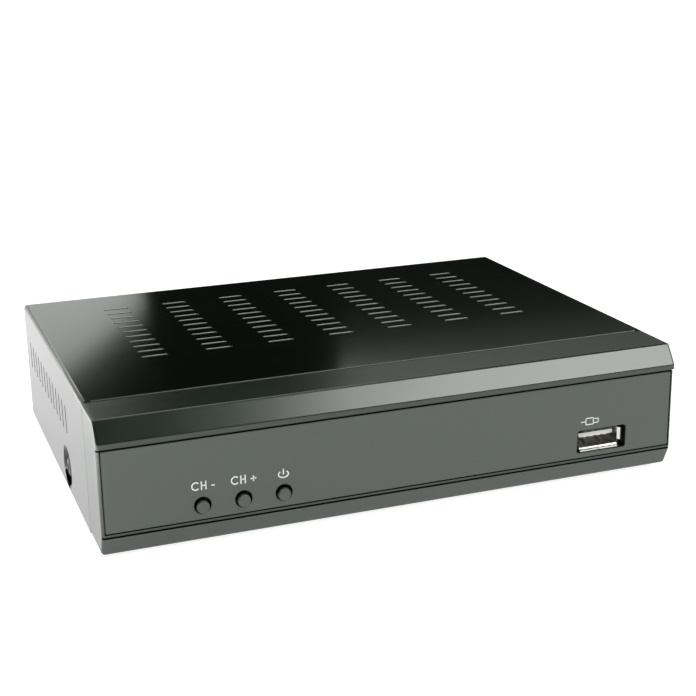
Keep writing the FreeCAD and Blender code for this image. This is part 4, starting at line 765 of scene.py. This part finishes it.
@dataclass(frozen=True)
class Laminate(Finish):
    """Circuit board: green solder mask over copper tracks, and tinned pads.

    cell is the size of a field of tracks, pitch their spacing and height their thickness, in metres.
    """

    copper: Color = (0.05, 0.2, 0.07)
    tin: Color = (0.62, 0.6, 0.55)
    cell: float = 0.0042
    pitch: float = 0.0007
    height: float = 0.00003
    spread: float = 0.2
    varnish: float = 0.4

    def detail(self, coat: Coat) -> None:
        """Tracks lighten the mask and stand up from it, and pads are bare tin.

        Args:
            coat: the material while it's made.
        """
        inputs = {"Vector": coat.place, "Cell": self.cell, "Pitch": self.pitch}
        tracks = coat.graph.group(coat.effects.tracks, inputs)
        mask = coat.graph.blend(tracks["Track"], self.rgba(), (*self.copper, 1.0))
        coat.tone(coat.graph.blend(tracks["Pad"], mask, (*self.tin, 1.0)), self.spread)
        coat.relief(coat.graph.math("MAXIMUM", tracks["Track"], tracks["Pad"]), self.height)
        coat.feed("Coat Weight", self.varnish)


@dataclass(frozen=True)
class Ribbon(Finish):
    """Flat cable: rounded conductors side by side, the first one striped red.

    pitch is their spacing, edge where the stripe ends and depth the grooves' depth, in metres, and
    groove how much painted shade darkens the grooves.
    """

    pitch: float = 0.001
    stripe: Color = (0.5, 0.05, 0.04)
    edge: float = 0.0327
    depth: float = 0.00025
    groove: float = 0.4
    spread: float = 0.1

    def detail(self, coat: Coat) -> None:
        """The height is a half wave per conductor across x, which also paints shade into the grooves, and x
        below the edge is the stripe.

        Args:
            coat: the material while it's made.
        """
        graph, across = coat.graph, coat.graph.axis(coat.place, 0)
        turns = graph.math("MULTIPLY", across, math.pi / self.pitch)
        wave = graph.math("ABSOLUTE", graph.math("SINE", turns))
        striped = graph.blend(graph.math("LESS_THAN", across, self.edge), self.rgba(), (*self.stripe, 1.0))
        # painted shade: the colour darkens into the grooves with the same wave as the relief
        light = graph.math("MULTIPLY_ADD", wave, self.groove, 1.0 - self.groove)
        coat.tone(graph.scaled(striped, light), self.spread)
        coat.relief(wave, self.depth)


@dataclass(frozen=True)
class Lens(Finish):
    """Clear coloured plastic with a cloudy core. clear is how much light passes through."""

    clear: float = 0.6
    index: float = 1.5
    spread: float = 0.5

    def detail(self, coat: Coat) -> None:
        """The colour deepens in slow patches, and light passes through.

        Args:
            coat: the material while it's made.
        """
        coat.tone(self.rgba(), self.spread)
        coat.feed("Transmission Weight", self.clear)
        coat.feed("IOR", self.index)


@dataclass(frozen=True)
class Ink(Finish):
    """Screen-printed ink, a little uneven where the mesh of the screen shows.

    mesh is the screen's spacing and depth the relief's height, in metres.
    """

    mesh: float = 0.0002
    depth: float = 0.000002
    spread: float = 0.08

    def detail(self, coat: Coat) -> None:
        """The screen's weave is the product of two waves, across x and up z, and gives a faint relief.

        Args:
            coat: the material while it's made.
        """
        turns = coat.graph.scaled(coat.place, math.tau / self.mesh)
        waves = [coat.graph.math("SINE", coat.graph.axis(turns, index)) for index in (0, 2)]
        coat.tone(self.rgba(), self.spread)
        coat.relief(coat.graph.math("MULTIPLY", *waves), self.depth)


FINISHES: tuple[Finish, ...] = (
    CoatedSheet("painted_steel", (0.001, 0.005, 0.001), 0.1, grain=0.0005, depth=0.0000006, spread=0.1),
    Moulded("zinc_steel", (0.07, 0.075, 0.069), 0.36, grain=0.0005, depth=0.000006),
    Moulded("bezel_plastic", (0.013, 0.026, 0.015), 0.22, grain=0.0003, depth=0.000001, specular=0.9),
    GapShadedPlastic("panel_plastic", (0.104, 0.12, 0.106), 0.45, grain=0.00025, depth=0.000003, spread=0.06),
    GapShadedPlastic("key_plastic", (0.1, 0.115, 0.101), 0.42, grain=0.0002, depth=0.000003),
    Moulded("foot_rubber", (0.02, 0.02, 0.021), 0.75, grain=0.0004, depth=0.00001, specular=0.3),
    Moulded("screw_steel", (0.03, 0.03, 0.032), 0.32, grain=0.0003, depth=0.000004),
    Moulded("black_plastic", (0.018, 0.018, 0.019), 0.42, grain=0.0003, depth=0.000005),
    Moulded("port_plastic", (0.94, 0.94, 0.91), 0.4, spread=0.05),
    Moulded("white_plastic", (0.8, 0.79, 0.75), 0.38, spread=0.05),
    Moulded("orange_plastic", (0.72, 0.17, 0.025), 0.4),
    Moulded("rocker_plastic", (0.022, 0.022, 0.024), 0.2, depth=0.000001),
    Moulded("thermal_rubber", (0.42, 0.46, 0.53), 0.8, depth=0.00002),
    PlatedSheet("nickel_steel", (0.72, 0.7, 0.66), 0.18, lay=Lay.ALONG_X),
    Metal("tinned_steel", (0.62, 0.62, 0.6), 0.38, lay=Lay.ALONG_Z, size=0.0006),
    Metal("nickel_brass", (0.7, 0.67, 0.6), 0.22),
    Metal("contact_brass", (0.83, 0.62, 0.28), 0.24),
    Metal("sink_aluminium", (0.6, 0.61, 0.62), 0.34, lay=Lay.ALONG_Y, size=0.0004),
    Metal("can_aluminium", (0.7, 0.71, 0.72), 0.28, lay=Lay.ALONG_Z),
    Laminate("board_laminate", (0.018, 0.11, 0.035), 0.3),
    Ribbon("ribbon_plastic", (0.5, 0.51, 0.52), 0.5),
    Lens("lamp_plastic", (0.7, 0.05, 0.03), 0.12),
    Ink("white_ink", (0.96, 0.97, 0.95), 0.5),
)


# Sub-assemblies ---------------------------------------------------------------------------------


@dataclass
class Workshop:
    """What every sub-assembly builds with: the frame and the finished materials."""

    where: Frame
    materials: dict[str, bpy.types.Material]
    merge_gap: float = 0.001  # points of a solid nearer than this are one, in millimetres
    level_angle: float = 0.5  # faces that turn less than this are one face, in degrees
    sharp_angle: float = 40.0  # edges that turn more than this are taken off

    @classmethod
    def ready(cls) -> "Workshop":
        """Reads the frame and makes every finish."""
        effects = Effects()
        return cls(Frame.from_solids(), {finish.name: finish.material(effects) for finish in FINISHES})

    def dress(self, made: bpy.types.Object, finish: str) -> None:
        """Gives an object one finish.

        Args:
            made: the solid or the new piece.
            finish: the finish's name.
        """
        made.data.materials.clear()
        made.data.materials.append(self.materials[finish])
        LOG.info("%s: %s", made.name, finish)

    def deburr(self, node: str, width: float) -> None:
        """Takes a solid's sharp edges off.

        The mesh is welded and its level triangles are joined first, so the bevel has whole faces.

        Args:
            node: the solid's name.
            width: how much is taken off either face, in millimetres.
        """
        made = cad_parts[node]
        weld = made.modifiers.new("weld", "WELD")
        weld.merge_threshold = self.merge_gap * MM
        level = made.modifiers.new("level", "DECIMATE")
        level.decimate_type = "DISSOLVE"
        level.angle_limit = math.radians(self.level_angle)
        bevel = made.modifiers.new("deburr", "BEVEL")
        bevel.width = width * MM
        bevel.segments = 1
        bevel.limit_method = "ANGLE"
        bevel.angle_limit = math.radians(self.sharp_angle)
        bevel.use_clamp_overlap = False
        bevel.loop_slide = False

    def piece(self, skin: Skin, name: str, body: str, finish: str, smooth: bool = False) -> bpy.types.Object:
        """Makes a new piece of the object.

        Args:
            skin: its closed surface, in the casing's frame.
            name: its name.
            body: the body it moves with.
            finish: the name of its finish.
            smooth: shades it smoothly.

        Returns:
            The piece, riding on its body.
        """
        made = skin.bake(name, self.where, smooth)
        self.dress(made, finish)
        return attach(made, body)


def wears(**finishes: str) -> dict[str, str]:
    """A dataclass field that holds the finish of each solid, by the solid's name."""
    return field(default_factory=lambda: finishes)


@dataclass
class SubAssembly:
    """Pieces that belong together. finishes names the finish of each of its solids."""

    finishes: dict[str, str]

    def dress(self, shop: Workshop) -> None:
        """Gives each solid its finish."""
        for node, finish in self.finishes.items():
            shop.dress(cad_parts[node], finish)

    def build(self, shop: Workshop) -> None:
        """Makes the pieces that the solids don't have. Some sub-assemblies have none."""


@dataclass
class Casing(SubAssembly):
    """Cover, base, feet and the screws that hold them."""

    finishes: dict[str, str] = wears(
        top_cover="painted_steel",
        base_chassis="zinc_steel",
        rubber_feet="foot_rubber",
        cover_screws="screw_steel",
        bezel_screws="screw_steel",
    )
    deburr: float = 0.12

    def build(self, shop: Workshop) -> None:
        """Deburrs the cover's edges and slots."""
        shop.deburr("top_cover", self.deburr)


@dataclass
class Front(SubAssembly):
    """Bezel, panel and keys, with the printing on the panel."""

    finishes: dict[str, str] = wears(
        front_bezel="bezel_plastic",
        front_panel="panel_plastic",
        channel_down_key="key_plastic",
        channel_up_key="key_plastic",
        standby_key="key_plastic",
        channel_down_stem="black_plastic",
        channel_up_stem="black_plastic",
        standby_stem="black_plastic",
    )
    down_label: Pair = (-60.2, 16.2)  # left edge and middle height
    up_label: Pair = (-49.6, 16.2)
    letters: Pair = (2.1, 1.52)  # widths of C and H
    signs: Pair = (0.93, 1.6)  # widths of minus and plus
    letter_height: float = 2.4
    letter_gap: float = 0.46
    letter_mouth: float = 42.0  # where the C's line ends, in degrees from the right
    sign_gap: float = 1.28
    sign_drop: Pair = (0.3, 0.15)  # how far under the middle the minus and the plus are
    line: float = 0.36
    standby_middle: Pair = (-35.2, 15.9)
    standby_radii: Pair = (1.38, 0.92)
    standby_span: Pair = (128, 412)  # the ring's ends, in degrees from the right
    standby_bar: Pair = (-0.1, 1.5)  # the bar's ends over the middle
    port_label: Pair = (53.9, 17.6)  # left edge and middle height
    port_line: float = 0.288
    plug_ends: tuple[float, ...] = (1.6, 4.0, 5.6)  # grip's start, sleeve's start and sleeve's end
    plug_halves: Pair = (0.95, 0.6)  # half heights of the grip and the sleeve

    def channel(self, place: Pair, more: bool) -> list[Stroke]:
        """The letters C and H, and a plus or a minus after them.

        Args:
            place: the label's left edge and middle height.
            more: whether a plus follows, and not a minus.

        Returns:
            The label's strokes.
        """
        left, middle = place
        low, high = middle - self.letter_height / 2, middle + self.letter_height / 2
        round_w = (self.letters[0] - self.line) / (1 + math.cos(math.radians(self.letter_mouth)))
        radii = (round_w, (self.letter_height - self.line) / 2)
        span = (self.letter_mouth, 360 - self.letter_mouth)
        strokes = [Stroke.arc((left + self.line / 2 + round_w, middle), radii, span, self.line)]
        near_x = left + self.letters[0] + self.letter_gap + self.line / 2
        far_x = near_x + self.letters[1] - self.line
        strokes += [Stroke.bar((x, low), (x, high), self.line) for x in (near_x, far_x)]
        strokes.append(Stroke.bar((near_x, middle), (far_x, middle), self.line))
        half = self.signs[more] / 2
        sign_x = far_x + self.line / 2 + self.sign_gap + half
        sign_z = middle - self.sign_drop[more]
        strokes.append(Stroke.bar((sign_x - half, sign_z), (sign_x + half, sign_z), self.line))
        if more:
            strokes.append(Stroke.bar((sign_x, sign_z - half), (sign_x, sign_z + half), self.line))
        return strokes

    def standby(self) -> list[Stroke]:
        """A ring that is open at its top, and a bar in the opening.

        Returns:
            The symbol's two strokes.
        """
        x, z = self.standby_middle
        low, high = self.standby_bar
        ring = Stroke.arc(self.standby_middle, self.standby_radii, self.standby_span, self.line)
        return [ring, Stroke.bar((x, z + low), (x, z + high), self.line)]

    def plug(self) -> list[Stroke]:
        """A flat plug seen from its side: a box for the grip, a narrower one for the sleeve, and its lead.

        Returns:
            The pictogram's strokes.
        """
        x, z = self.port_label
        stations = [x + end for end in self.plug_ends]
        strokes = []
        for left, right, half in zip(stations, stations[1:], self.plug_halves):
            low, high = z - half, z + half
            sides = ((left, high, right, high), (left, low, right, low), (right, low, right, high))
            strokes += [Stroke.bar(side[:2], side[2:], self.port_line) for side in sides]
        half = self.plug_halves[0]
        strokes.append(Stroke.bar((stations[0], z - half), (stations[0], z + half), self.port_line))
        return strokes + [Stroke.bar((x, z), (stations[0], z), self.port_line)]

    def build(self, shop: Workshop) -> None:
        """Prints the labels over the keys and the port.

        Args:
            shop: what every sub-assembly builds with.
        """
        face = Plane((0.0, 0.0, 0.0), (1.0, 0.0, 0.0), (0.0, 0.0, 1.0))
        labels = {
            "channel_down_label": self.channel(self.down_label, more=False),
            "channel_up_label": self.channel(self.up_label, more=True),
            "standby_symbol": self.standby(),
            "data_port_symbol": self.plug(),
        }
        for name, strokes in labels.items():
            shop.piece(Mark(face, strokes).skin(), name, "casing", "white_ink")


@dataclass
class DataPort(SubAssembly):
    """The port's sleeve, tongue and contacts."""

    finishes: dict[str, str] = wears(
        data_port_shell="nickel_steel",
        data_port_housing="port_plastic",
        data_port_contacts="nickel_brass",
    )


@dataclass
class Boards(SubAssembly):
    """Both boards, what stands on them and the ribbon between them."""

    finishes: dict[str, str] = wears(
        front_board="board_laminate",
        front_board_screws="screw_steel",
        key_switches="black_plastic",
        remote_sensor="black_plastic",
        standby_lamp="lamp_plastic",
        ribbon_headers="white_plastic",
        ribbon_cable="ribbon_plastic",
        main_board="board_laminate",
        board_standoffs="contact_brass",
        board_screws="screw_steel",
        main_chip="black_plastic",
        thermal_pad="thermal_rubber",
        heat_sink="sink_aluminium",
        memory_chips="black_plastic",
        regulator_chips="black_plastic",
        large_capacitors="can_aluminium",
        small_capacitors="can_aluminium",
        power_coils="black_plastic",
        crystals="can_aluminium",
        small_parts="black_plastic",
        tuner_can="tinned_steel",
        tuner_lid="tinned_steel",
        tuner_chip="black_plastic",
    )


@dataclass
class AerialSockets(SubAssembly):
    """The two threaded aerial sockets, which replace their plain solids."""

    finishes: dict[str, str] = wears(
        aerial_insulators="white_plastic",
        aerial_contacts="contact_brass",
        aerial_nuts="nickel_brass",
        aerial_washers="nickel_brass",
    )
    crest: float = 4.75
    pitch: float = 0.794
    thread: float = 0.45  # depth of the thread
    thread_flat: float = 0.15  # share of half a pitch that is flat, at the crest and at the root
    bore: float = 3.3
    flange: float = 6.0
    groove: float = 4.35
    flange_back: float = 119.35
    plate: float = 120.85  # where the barrel starts
    nut_end: float = 124.65
    groove_end: float = 125.15
    tip: float = 132.1
    chamfer: float = 0.5
    height: float = 15.4
    steps_along: int = 150
    steps_round: int = 80
    sharp_angle: float = 35.0
    places: tuple[tuple[str, float], ...] = (("dish_input_socket", 68.5), ("dish_output_socket", 50.5))

    def radius(self, turn: np.ndarray, along: np.ndarray) -> np.ndarray:
        """The barrel's outside.

        The phase is the distance along the axis in pitches, less the turn's share of a full one. The
        wall is at the crest, less the thread's depth times how far the phase is from the nearest
        whole number, cut off flat at the top and the bottom. It's no larger than the groove beside
        the nut, nor than a 45 degree chamfer at the tip.

        Args:
            turn: the angle about the axis.
            along: the distance along it.

        Returns:
            The radius at each pair.
        """
        phase = along / self.pitch - turn / math.tau
        away = 2 * np.abs(phase - np.round(phase))
        flank = 1 - 2 * self.thread_flat
        wall = self.crest - self.thread * np.clip((away - self.thread_flat) / flank, 0.0, 1.0)
        in_groove = (along > self.nut_end) & (along < self.groove_end)
        wall = np.where(in_groove, np.minimum(wall, self.groove), wall)
        return np.minimum(wall, self.crest - self.chamfer + (self.tip - along))

    def skin(self, x: float) -> Skin:
        """A profile of flange, barrel, tip and bore, turned about the axis.

        A point is the axis plus the radius times the cosine and sine of the turn. The radius of each
        station of the profile is its own, and the barrel's stations take theirs from radius().

        Args:
            x: where the axis is.

        Returns:
            A closed skin.
        """
        along = np.linspace(self.plate, self.tip, self.steps_along)
        stations = np.concatenate(((self.tip, self.flange_back, self.flange_back, self.plate), along))
        turn = np.linspace(0.0, math.tau, self.steps_round, endpoint=False)
        angle, far = np.meshgrid(turn, stations, indexing="ij")
        radius = self.radius(angle, far)
        radius[:, :4] = (self.bore, self.bore, self.flange, self.flange)
        points = (x + radius * np.cos(angle), far, self.height + radius * np.sin(angle))
        faces = quads(len(turn), len(stations), ring=True)
        return Skin(np.stack(points, axis=-1).reshape(-1, 3), [faces]).outward()

    def build(self, shop: Workshop) -> None:
        """Cuts both threads.

        Args:
            shop: what every sub-assembly builds with.
        """
        for node, x in self.places:
            name = node.replace("socket", "threaded_socket")
            made = shop.piece(self.skin(x), name, "casing", "nickel_brass", smooth=True)
            made.data.set_sharp_from_angle(angle=math.radians(self.sharp_angle))
            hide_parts(node)


@dataclass
class BackSockets(SubAssembly):
    """Audio, audio-video and video sockets, the power inlet and switch, with the printing on the back."""

    finishes: dict[str, str] = wears(
        audio_socket_body="orange_plastic",
        audio_socket_ring="nickel_brass",
        audio_socket_core="white_plastic",
        audio_socket_contact="contact_brass",
        av_socket_housing="black_plastic",
        av_socket_contacts="contact_brass",
        av_socket_screws="screw_steel",
        video_socket_shell="nickel_steel",
        video_socket_tongue="black_plastic",
        video_socket_contacts="contact_brass",
        power_switch_housing="black_plastic",
        power_switch_rocker="rocker_plastic",
        power_inlet_body="black_plastic",
        power_inlet_pin="nickel_brass",
    )
    back: float = 121.65
    line: float = 0.3
    arrows: tuple[tuple[float, bool], ...] = ((68.5, True), (50.5, False))  # x, and whether it points in
    arrow_height: float = 25.5
    arrow_half: float = 1.2
    arrow_wing: float = 0.9
    arrow_bar: Pair = (1.6, 0.7)  # the bar's half width, and how far under the arrow it is
    inlet: Pair = (-73.0, 22.5)
    polarity_radii: Pair = (0.35, 1.0)  # the pin's dot and the ring about it
    polarity_gap: float = 40.0  # where the ring's line ends, in degrees from the right
    polarity_reach: float = 2.2  # how far the two lines reach
    sign_reach: float = 3.0  # where the plus and the minus are
    sign_half: float = 0.55
    rocker_axis: Pair = (120.25, 17.0)  # y and z
    rocker_x: float = -59.55
    rocker_face: float = 123.25
    rocker_rise: float = 0.9
    rocker_half: float = 5.2
    rocker_tilt: float = 10.0
    on_half: float = 0.9
    off_radius: float = 0.8

    def arrow(self, x: float, inwards: bool) -> list[Stroke]:
        """An upright arrow over a short bar: down into the bar for an input, up from it for an output.

        Args:
            x: where its socket is.
            inwards: whether it points down.

        Returns:
            Its strokes.
        """
        low, high = self.arrow_height - self.arrow_half, self.arrow_height + self.arrow_half
        tip, wing = (low, low + self.arrow_wing) if inwards else (high, high - self.arrow_wing)
        half, drop = self.arrow_bar
        sides = (-x - self.arrow_wing, -x + self.arrow_wing)
        strokes = [Stroke.bar((-x, low), (-x, high), self.line)]
        strokes += [Stroke.bar((side, wing), (-x, tip), self.line) for side in sides]
        return strokes + [Stroke.bar((-x - half, low - drop), (-x + half, low - drop), self.line)]

    def polarity(self) -> list[Stroke]:
        """A plug's centre and ring with a line to each, and a plus and a minus at their ends.

        Returns:
            The symbol's strokes.
        """
        u, v = -self.inlet[0], self.inlet[1]
        dot, ring = self.polarity_radii
        span = (self.polarity_gap, 360 - self.polarity_gap)
        lines = ((dot, self.polarity_reach), (-self.polarity_reach, -ring))
        strokes = [Stroke.arc((u, v), (dot, dot), (0, 360), self.line)]
        strokes.append(Stroke.arc((u, v), (ring, ring), span, self.line))
        strokes += [Stroke.bar((u + left, v), (u + right, v), self.line) for left, right in lines]
        half = self.sign_half
        for middle in (u + self.sign_reach, u - self.sign_reach):
            strokes.append(Stroke.bar((middle - half, v), (middle + half, v), self.line))
            if middle > u:
                strokes.append(Stroke.bar((middle, v - half), (middle, v + half), self.line))
        return strokes

    def facet(self, upper: bool) -> Plane:
        """The plane of one half of the rocker's face.

        Both halves rise from the face's middle by the rocker's rise over its half height. Their plane
        is turned about the pivot by the rocker's tilt.

        Args:
            upper: whether it's the upper half.

        Returns:
            The plane, whose origin is the half's middle.
        """
        sign = 1.0 if upper else -1.0
        slope = np.array((0.0, self.rocker_rise, sign * self.rocker_half))
        middle = np.array((self.rocker_x, self.rocker_face, self.rocker_axis[1])) + slope / 2
        turn = np.array(Matrix.Rotation(math.radians(-self.rocker_tilt), 3, "X"))
        pivot = np.array((self.rocker_x, *self.rocker_axis))
        up = turn @ slope * sign
        return Plane(tuple(turn @ (middle - pivot) + pivot), (-1.0, 0.0, 0.0), tuple(up / np.linalg.norm(up)))

    def build(self, shop: Workshop) -> None:
        """Prints the arrows, the polarity symbol and the rocker's two marks.

        Args:
            shop: what every sub-assembly builds with.
        """
        plate = Plane((0.0, self.back, 0.0), (-1.0, 0.0, 0.0), (0.0, 0.0, 1.0))
        symbols = {
            "dish_input_arrow": self.arrow(*self.arrows[0]),
            "dish_output_arrow": self.arrow(*self.arrows[1]),
            "power_inlet_symbol": self.polarity(),
        }
        for name, strokes in symbols.items():
            shop.piece(Mark(plate, strokes).skin(), name, "casing", "white_ink")
        bar = Stroke.bar((0.0, -self.on_half), (0.0, self.on_half), self.line)
        ring = Stroke.arc((0.0, 0.0), (self.off_radius, self.off_radius), (0, 360), self.line)
        marks = [Mark(self.facet(upper=True), [bar]).skin(), Mark(self.facet(upper=False), [ring]).skin()]
        shop.piece(Skin.joined(marks), "power_rocker_marks", "power_rocker", "white_ink")


# Studio -----------------------------------------------------------------------------------------


@dataclass(frozen=True)
class Softbox:
    """A lamp with a soft face, aimed at a point. Places and sizes are metres in the part's frame."""

    name: str
    place: Point
    aim: Point
    size: Pair
    power: float
    color: Color = (1.0, 1.0, 1.0)
    spread: float = 180.0
    turn: float = 0.0  # about its own axis, in degrees

    def build(self) -> None:
        """Adds the lamp. It faces its aim, and the camera doesn't see it."""
        lamp = bpy.data.lights.new(self.name, "AREA")
        lamp.shape = "RECTANGLE"
        lamp.size, lamp.size_y = self.size
        lamp.energy = self.power
        lamp.color = self.color
        lamp.spread = math.radians(self.spread)
        made = bpy.data.objects.new(self.name, lamp)
        made.location = self.place
        facing = (Vector(self.aim) - Vector(self.place)).to_track_quat("-Z", "Y").to_matrix()
        made.rotation_euler = (facing @ Matrix.Rotation(math.radians(self.turn), 3, "Z")).to_euler()
        made.visible_camera = False
        bpy.context.scene.collection.objects.link(made)


@dataclass
class Studio:
    """Pale floor, soft lamps and the camera."""

    azimuth: float = 20.263  # camera's heading, from straight back to the right
    depression: float = 16.95
    roll: float = -0.971
    stand: Point = (-136.37, -324.85, 153.93)  # camera's place in the casing's frame
    focal_px: float = 1384.3
    picture_px: float = 696.0
    sensor: float = 36.0
    clip: Pair = (0.01, 100.0)
    floor_half: float = 20.0
    floor_tones: Pair = (0.5, 0.53)
    floor_clouds: float = 0.7  # how many patches fit in a metre
    floor_roughness: float = 0.8
    floor_specular: float = 0.1
    floor_glow: float = 0.9
    seen_glow: float = 0.1  # how much more of it the camera sees
    shade: Pair = (0.086, 0.062)  # half width and half depth of the shade under the casing
    shade_edge: float = 0.025  # how far its edge fades
    backdrop: float = 1.0
    room: float = 0.012
    lamps: tuple[Softbox, ...] = (
        Softbox("overhead_softbox", (0.0, 0.1, 1.6), (0.0, 0.0, 0.0), (1.8, 1.8), 4.0),
        Softbox("glint_lamp", (0.65, -0.52, 1.6), (0.65, -0.52, 0.0), (0.9, 0.5), 0.45),
        Softbox("near_glint_lamp", (0.21, -0.52, 1.6), (0.21, -0.52, 0.0), (0.1, 0.5), 0.2),
        Softbox(
            "right_softbox", (0.52, -0.62, 0.62), (0.03, -0.06, 0.03), (0.5, 0.42), 4.1, (0.95, 1.0, 0.94)
        ),
        Softbox("left_floor_lamp", (-0.3, 0.08, 0.32), (-0.3, 0.08, 0.0), (0.2, 0.5), 5.8, spread=50.0),
        Softbox(
            "left_card", (0.016, 1.11, 0.338), (0.016, 0.0, 0.338), (0.28, 0.17), 0.21, (0.95, 1.0, 0.95),
            turn=36.0,
        ),
        Softbox("fold_card", (-0.27, 1.14, 0.25), (-0.08, 0.0, 0.04), (0.6, 0.44), 0.66, (0.95, 1.0, 0.95)),
        Softbox("right_card", (0.7, 1.11, 0.455), (0.7, 0.0, 0.455), (0.58, 0.09), 0.018, (0.94, 1.0, 0.94)),
        Softbox("high_card", (0.735, 1.11, 0.65), (0.05, 0.0, 0.03), (0.66, 0.3), 0.42, (0.94, 1.0, 0.94)),
        Softbox("back_softbox", (0.3, 1.1, 1.4), (0.0, 0.0, 0.0), (0.8, 0.5), 4.0),
    )

    def camera(self, where: Frame) -> None:
        """Adds the camera: it looks along its heading and depression, then rolls about that line.

        Args:
            where: places the camera's stand in the part's frame.
        """
        az, down, roll = map(math.radians, (self.azimuth, self.depression, self.roll))
        ahead = Vector((math.sin(az) * math.cos(down), math.cos(az) * math.cos(down), -math.sin(down)))
        right = Vector((math.cos(az), -math.sin(az), 0.0))
        up = right.cross(ahead)
        across = right * math.cos(roll) + up * math.sin(roll)
        upright = up * math.cos(roll) - right * math.sin(roll)
        lens = bpy.data.cameras.new("camera")
        lens.sensor_width = self.sensor
        lens.lens = self.focal_px / self.picture_px * self.sensor
        lens.clip_start, lens.clip_end = self.clip
        made = bpy.data.objects.new("camera", lens)
        turn = Matrix((across, upright, -ahead)).transposed().to_4x4()
        made.matrix_world = Matrix.Translation(where.place(np.array(self.stand))) @ turn
        bpy.context.scene.collection.objects.link(made)
        bpy.context.scene.camera = made

    def glow(self, graph: Graph) -> Socket:
        """The floor's own light: none where it lies under the casing, and a little more to the camera.

        Args:
            graph: the floor's shader tree.

        Returns:
            The strength of the light.
        """
        place = graph.node("TexCoord").outputs["Object"]
        beyond = []
        for index, half in enumerate(self.shade):
            away = graph.math("ABSOLUTE", graph.axis(place, index))
            beyond.append(graph.ramp(away, (half - self.shade_edge, half)))
        seen = graph.node("LightPath").outputs["Is Camera Ray"]
        light = graph.math("MULTIPLY_ADD", seen, self.seen_glow, self.floor_glow)
        return graph.math("MULTIPLY", graph.math("MAXIMUM", *beyond), light)

    def floor(self) -> None:
        """Adds the floor: a level square that reflects and passes on a soft light from below."""
        half = self.floor_half / MM
        corners = np.array(((-half, -half, 0.0), (half, -half, 0.0), (half, half, 0.0), (-half, half, 0.0)))
        made = Skin(corners, [np.array(((0, 1, 2, 3),))]).bake("studio_floor", Frame(np.zeros(3)), False)
        paint = bpy.data.materials.new("studio_floor")
        paint.use_nodes = True
        graph = Graph(paint.node_tree)
        shader = paint.node_tree.nodes["Principled BSDF"]
        cloud = graph.noise(graph.node("TexCoord").outputs["Object"], self.floor_clouds)
        tones = [(tone, tone, tone, 1.0) for tone in self.floor_tones]
        graph.feed(shader.inputs["Base Color"], graph.blend(cloud, *tones))
        shader.inputs["Roughness"].default_value = self.floor_roughness
        shader.inputs["Specular IOR Level"].default_value = self.floor_specular
        shader.inputs["Emission Color"].default_value = (1.0, 1.0, 1.0, 1.0)
        graph.feed(shader.inputs["Emission Strength"], self.glow(graph))
        made.data.materials.append(paint)
        made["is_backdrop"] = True

    def world(self) -> None:
        """Sets a dim room whose walls the camera sees as a pale backdrop."""
        world = bpy.data.worlds.new("studio")
        world.use_nodes = True
        graph = Graph(world.node_tree)
        seen = graph.node("LightPath").outputs["Is Camera Ray"]
        level = graph.math("MULTIPLY_ADD", seen, self.backdrop - self.room, self.room)
        graph.feed(world.node_tree.nodes["Background"].inputs["Strength"], level)
        world.node_tree.nodes["Background"].inputs["Color"].default_value = (1.0, 1.0, 1.0, 1.0)
        bpy.context.scene.world = world

    def build(self, where: Frame) -> None:
        """Sets up the whole studio.

        Args:
            where: places the camera in the part's frame.
        """
        self.floor()
        self.world()
        for lamp in self.lamps:
            lamp.build()
        self.camera(where)
        bpy.context.scene.view_settings.view_transform = "Standard"
        LOG.info("studio: %d lamps", len(self.lamps))


def corners() -> list[list[float]]:
    """The lowest and highest corner of what is shown."""
    return [list(map(float, corner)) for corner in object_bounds()]


def main() -> None:
    """Dresses every sub-assembly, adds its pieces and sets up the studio."""
    logging.basicConfig(level=logging.INFO, format="%(message)s")
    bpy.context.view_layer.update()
    shop = Workshop.ready()
    for assembly in (Casing(), Front(), DataPort(), Boards(), AerialSockets(), BackSockets()):
        assembly.dress(shop)
        assembly.build(shop)
    Studio().build(shop.where)


if __name__ == "__main__":
    main()
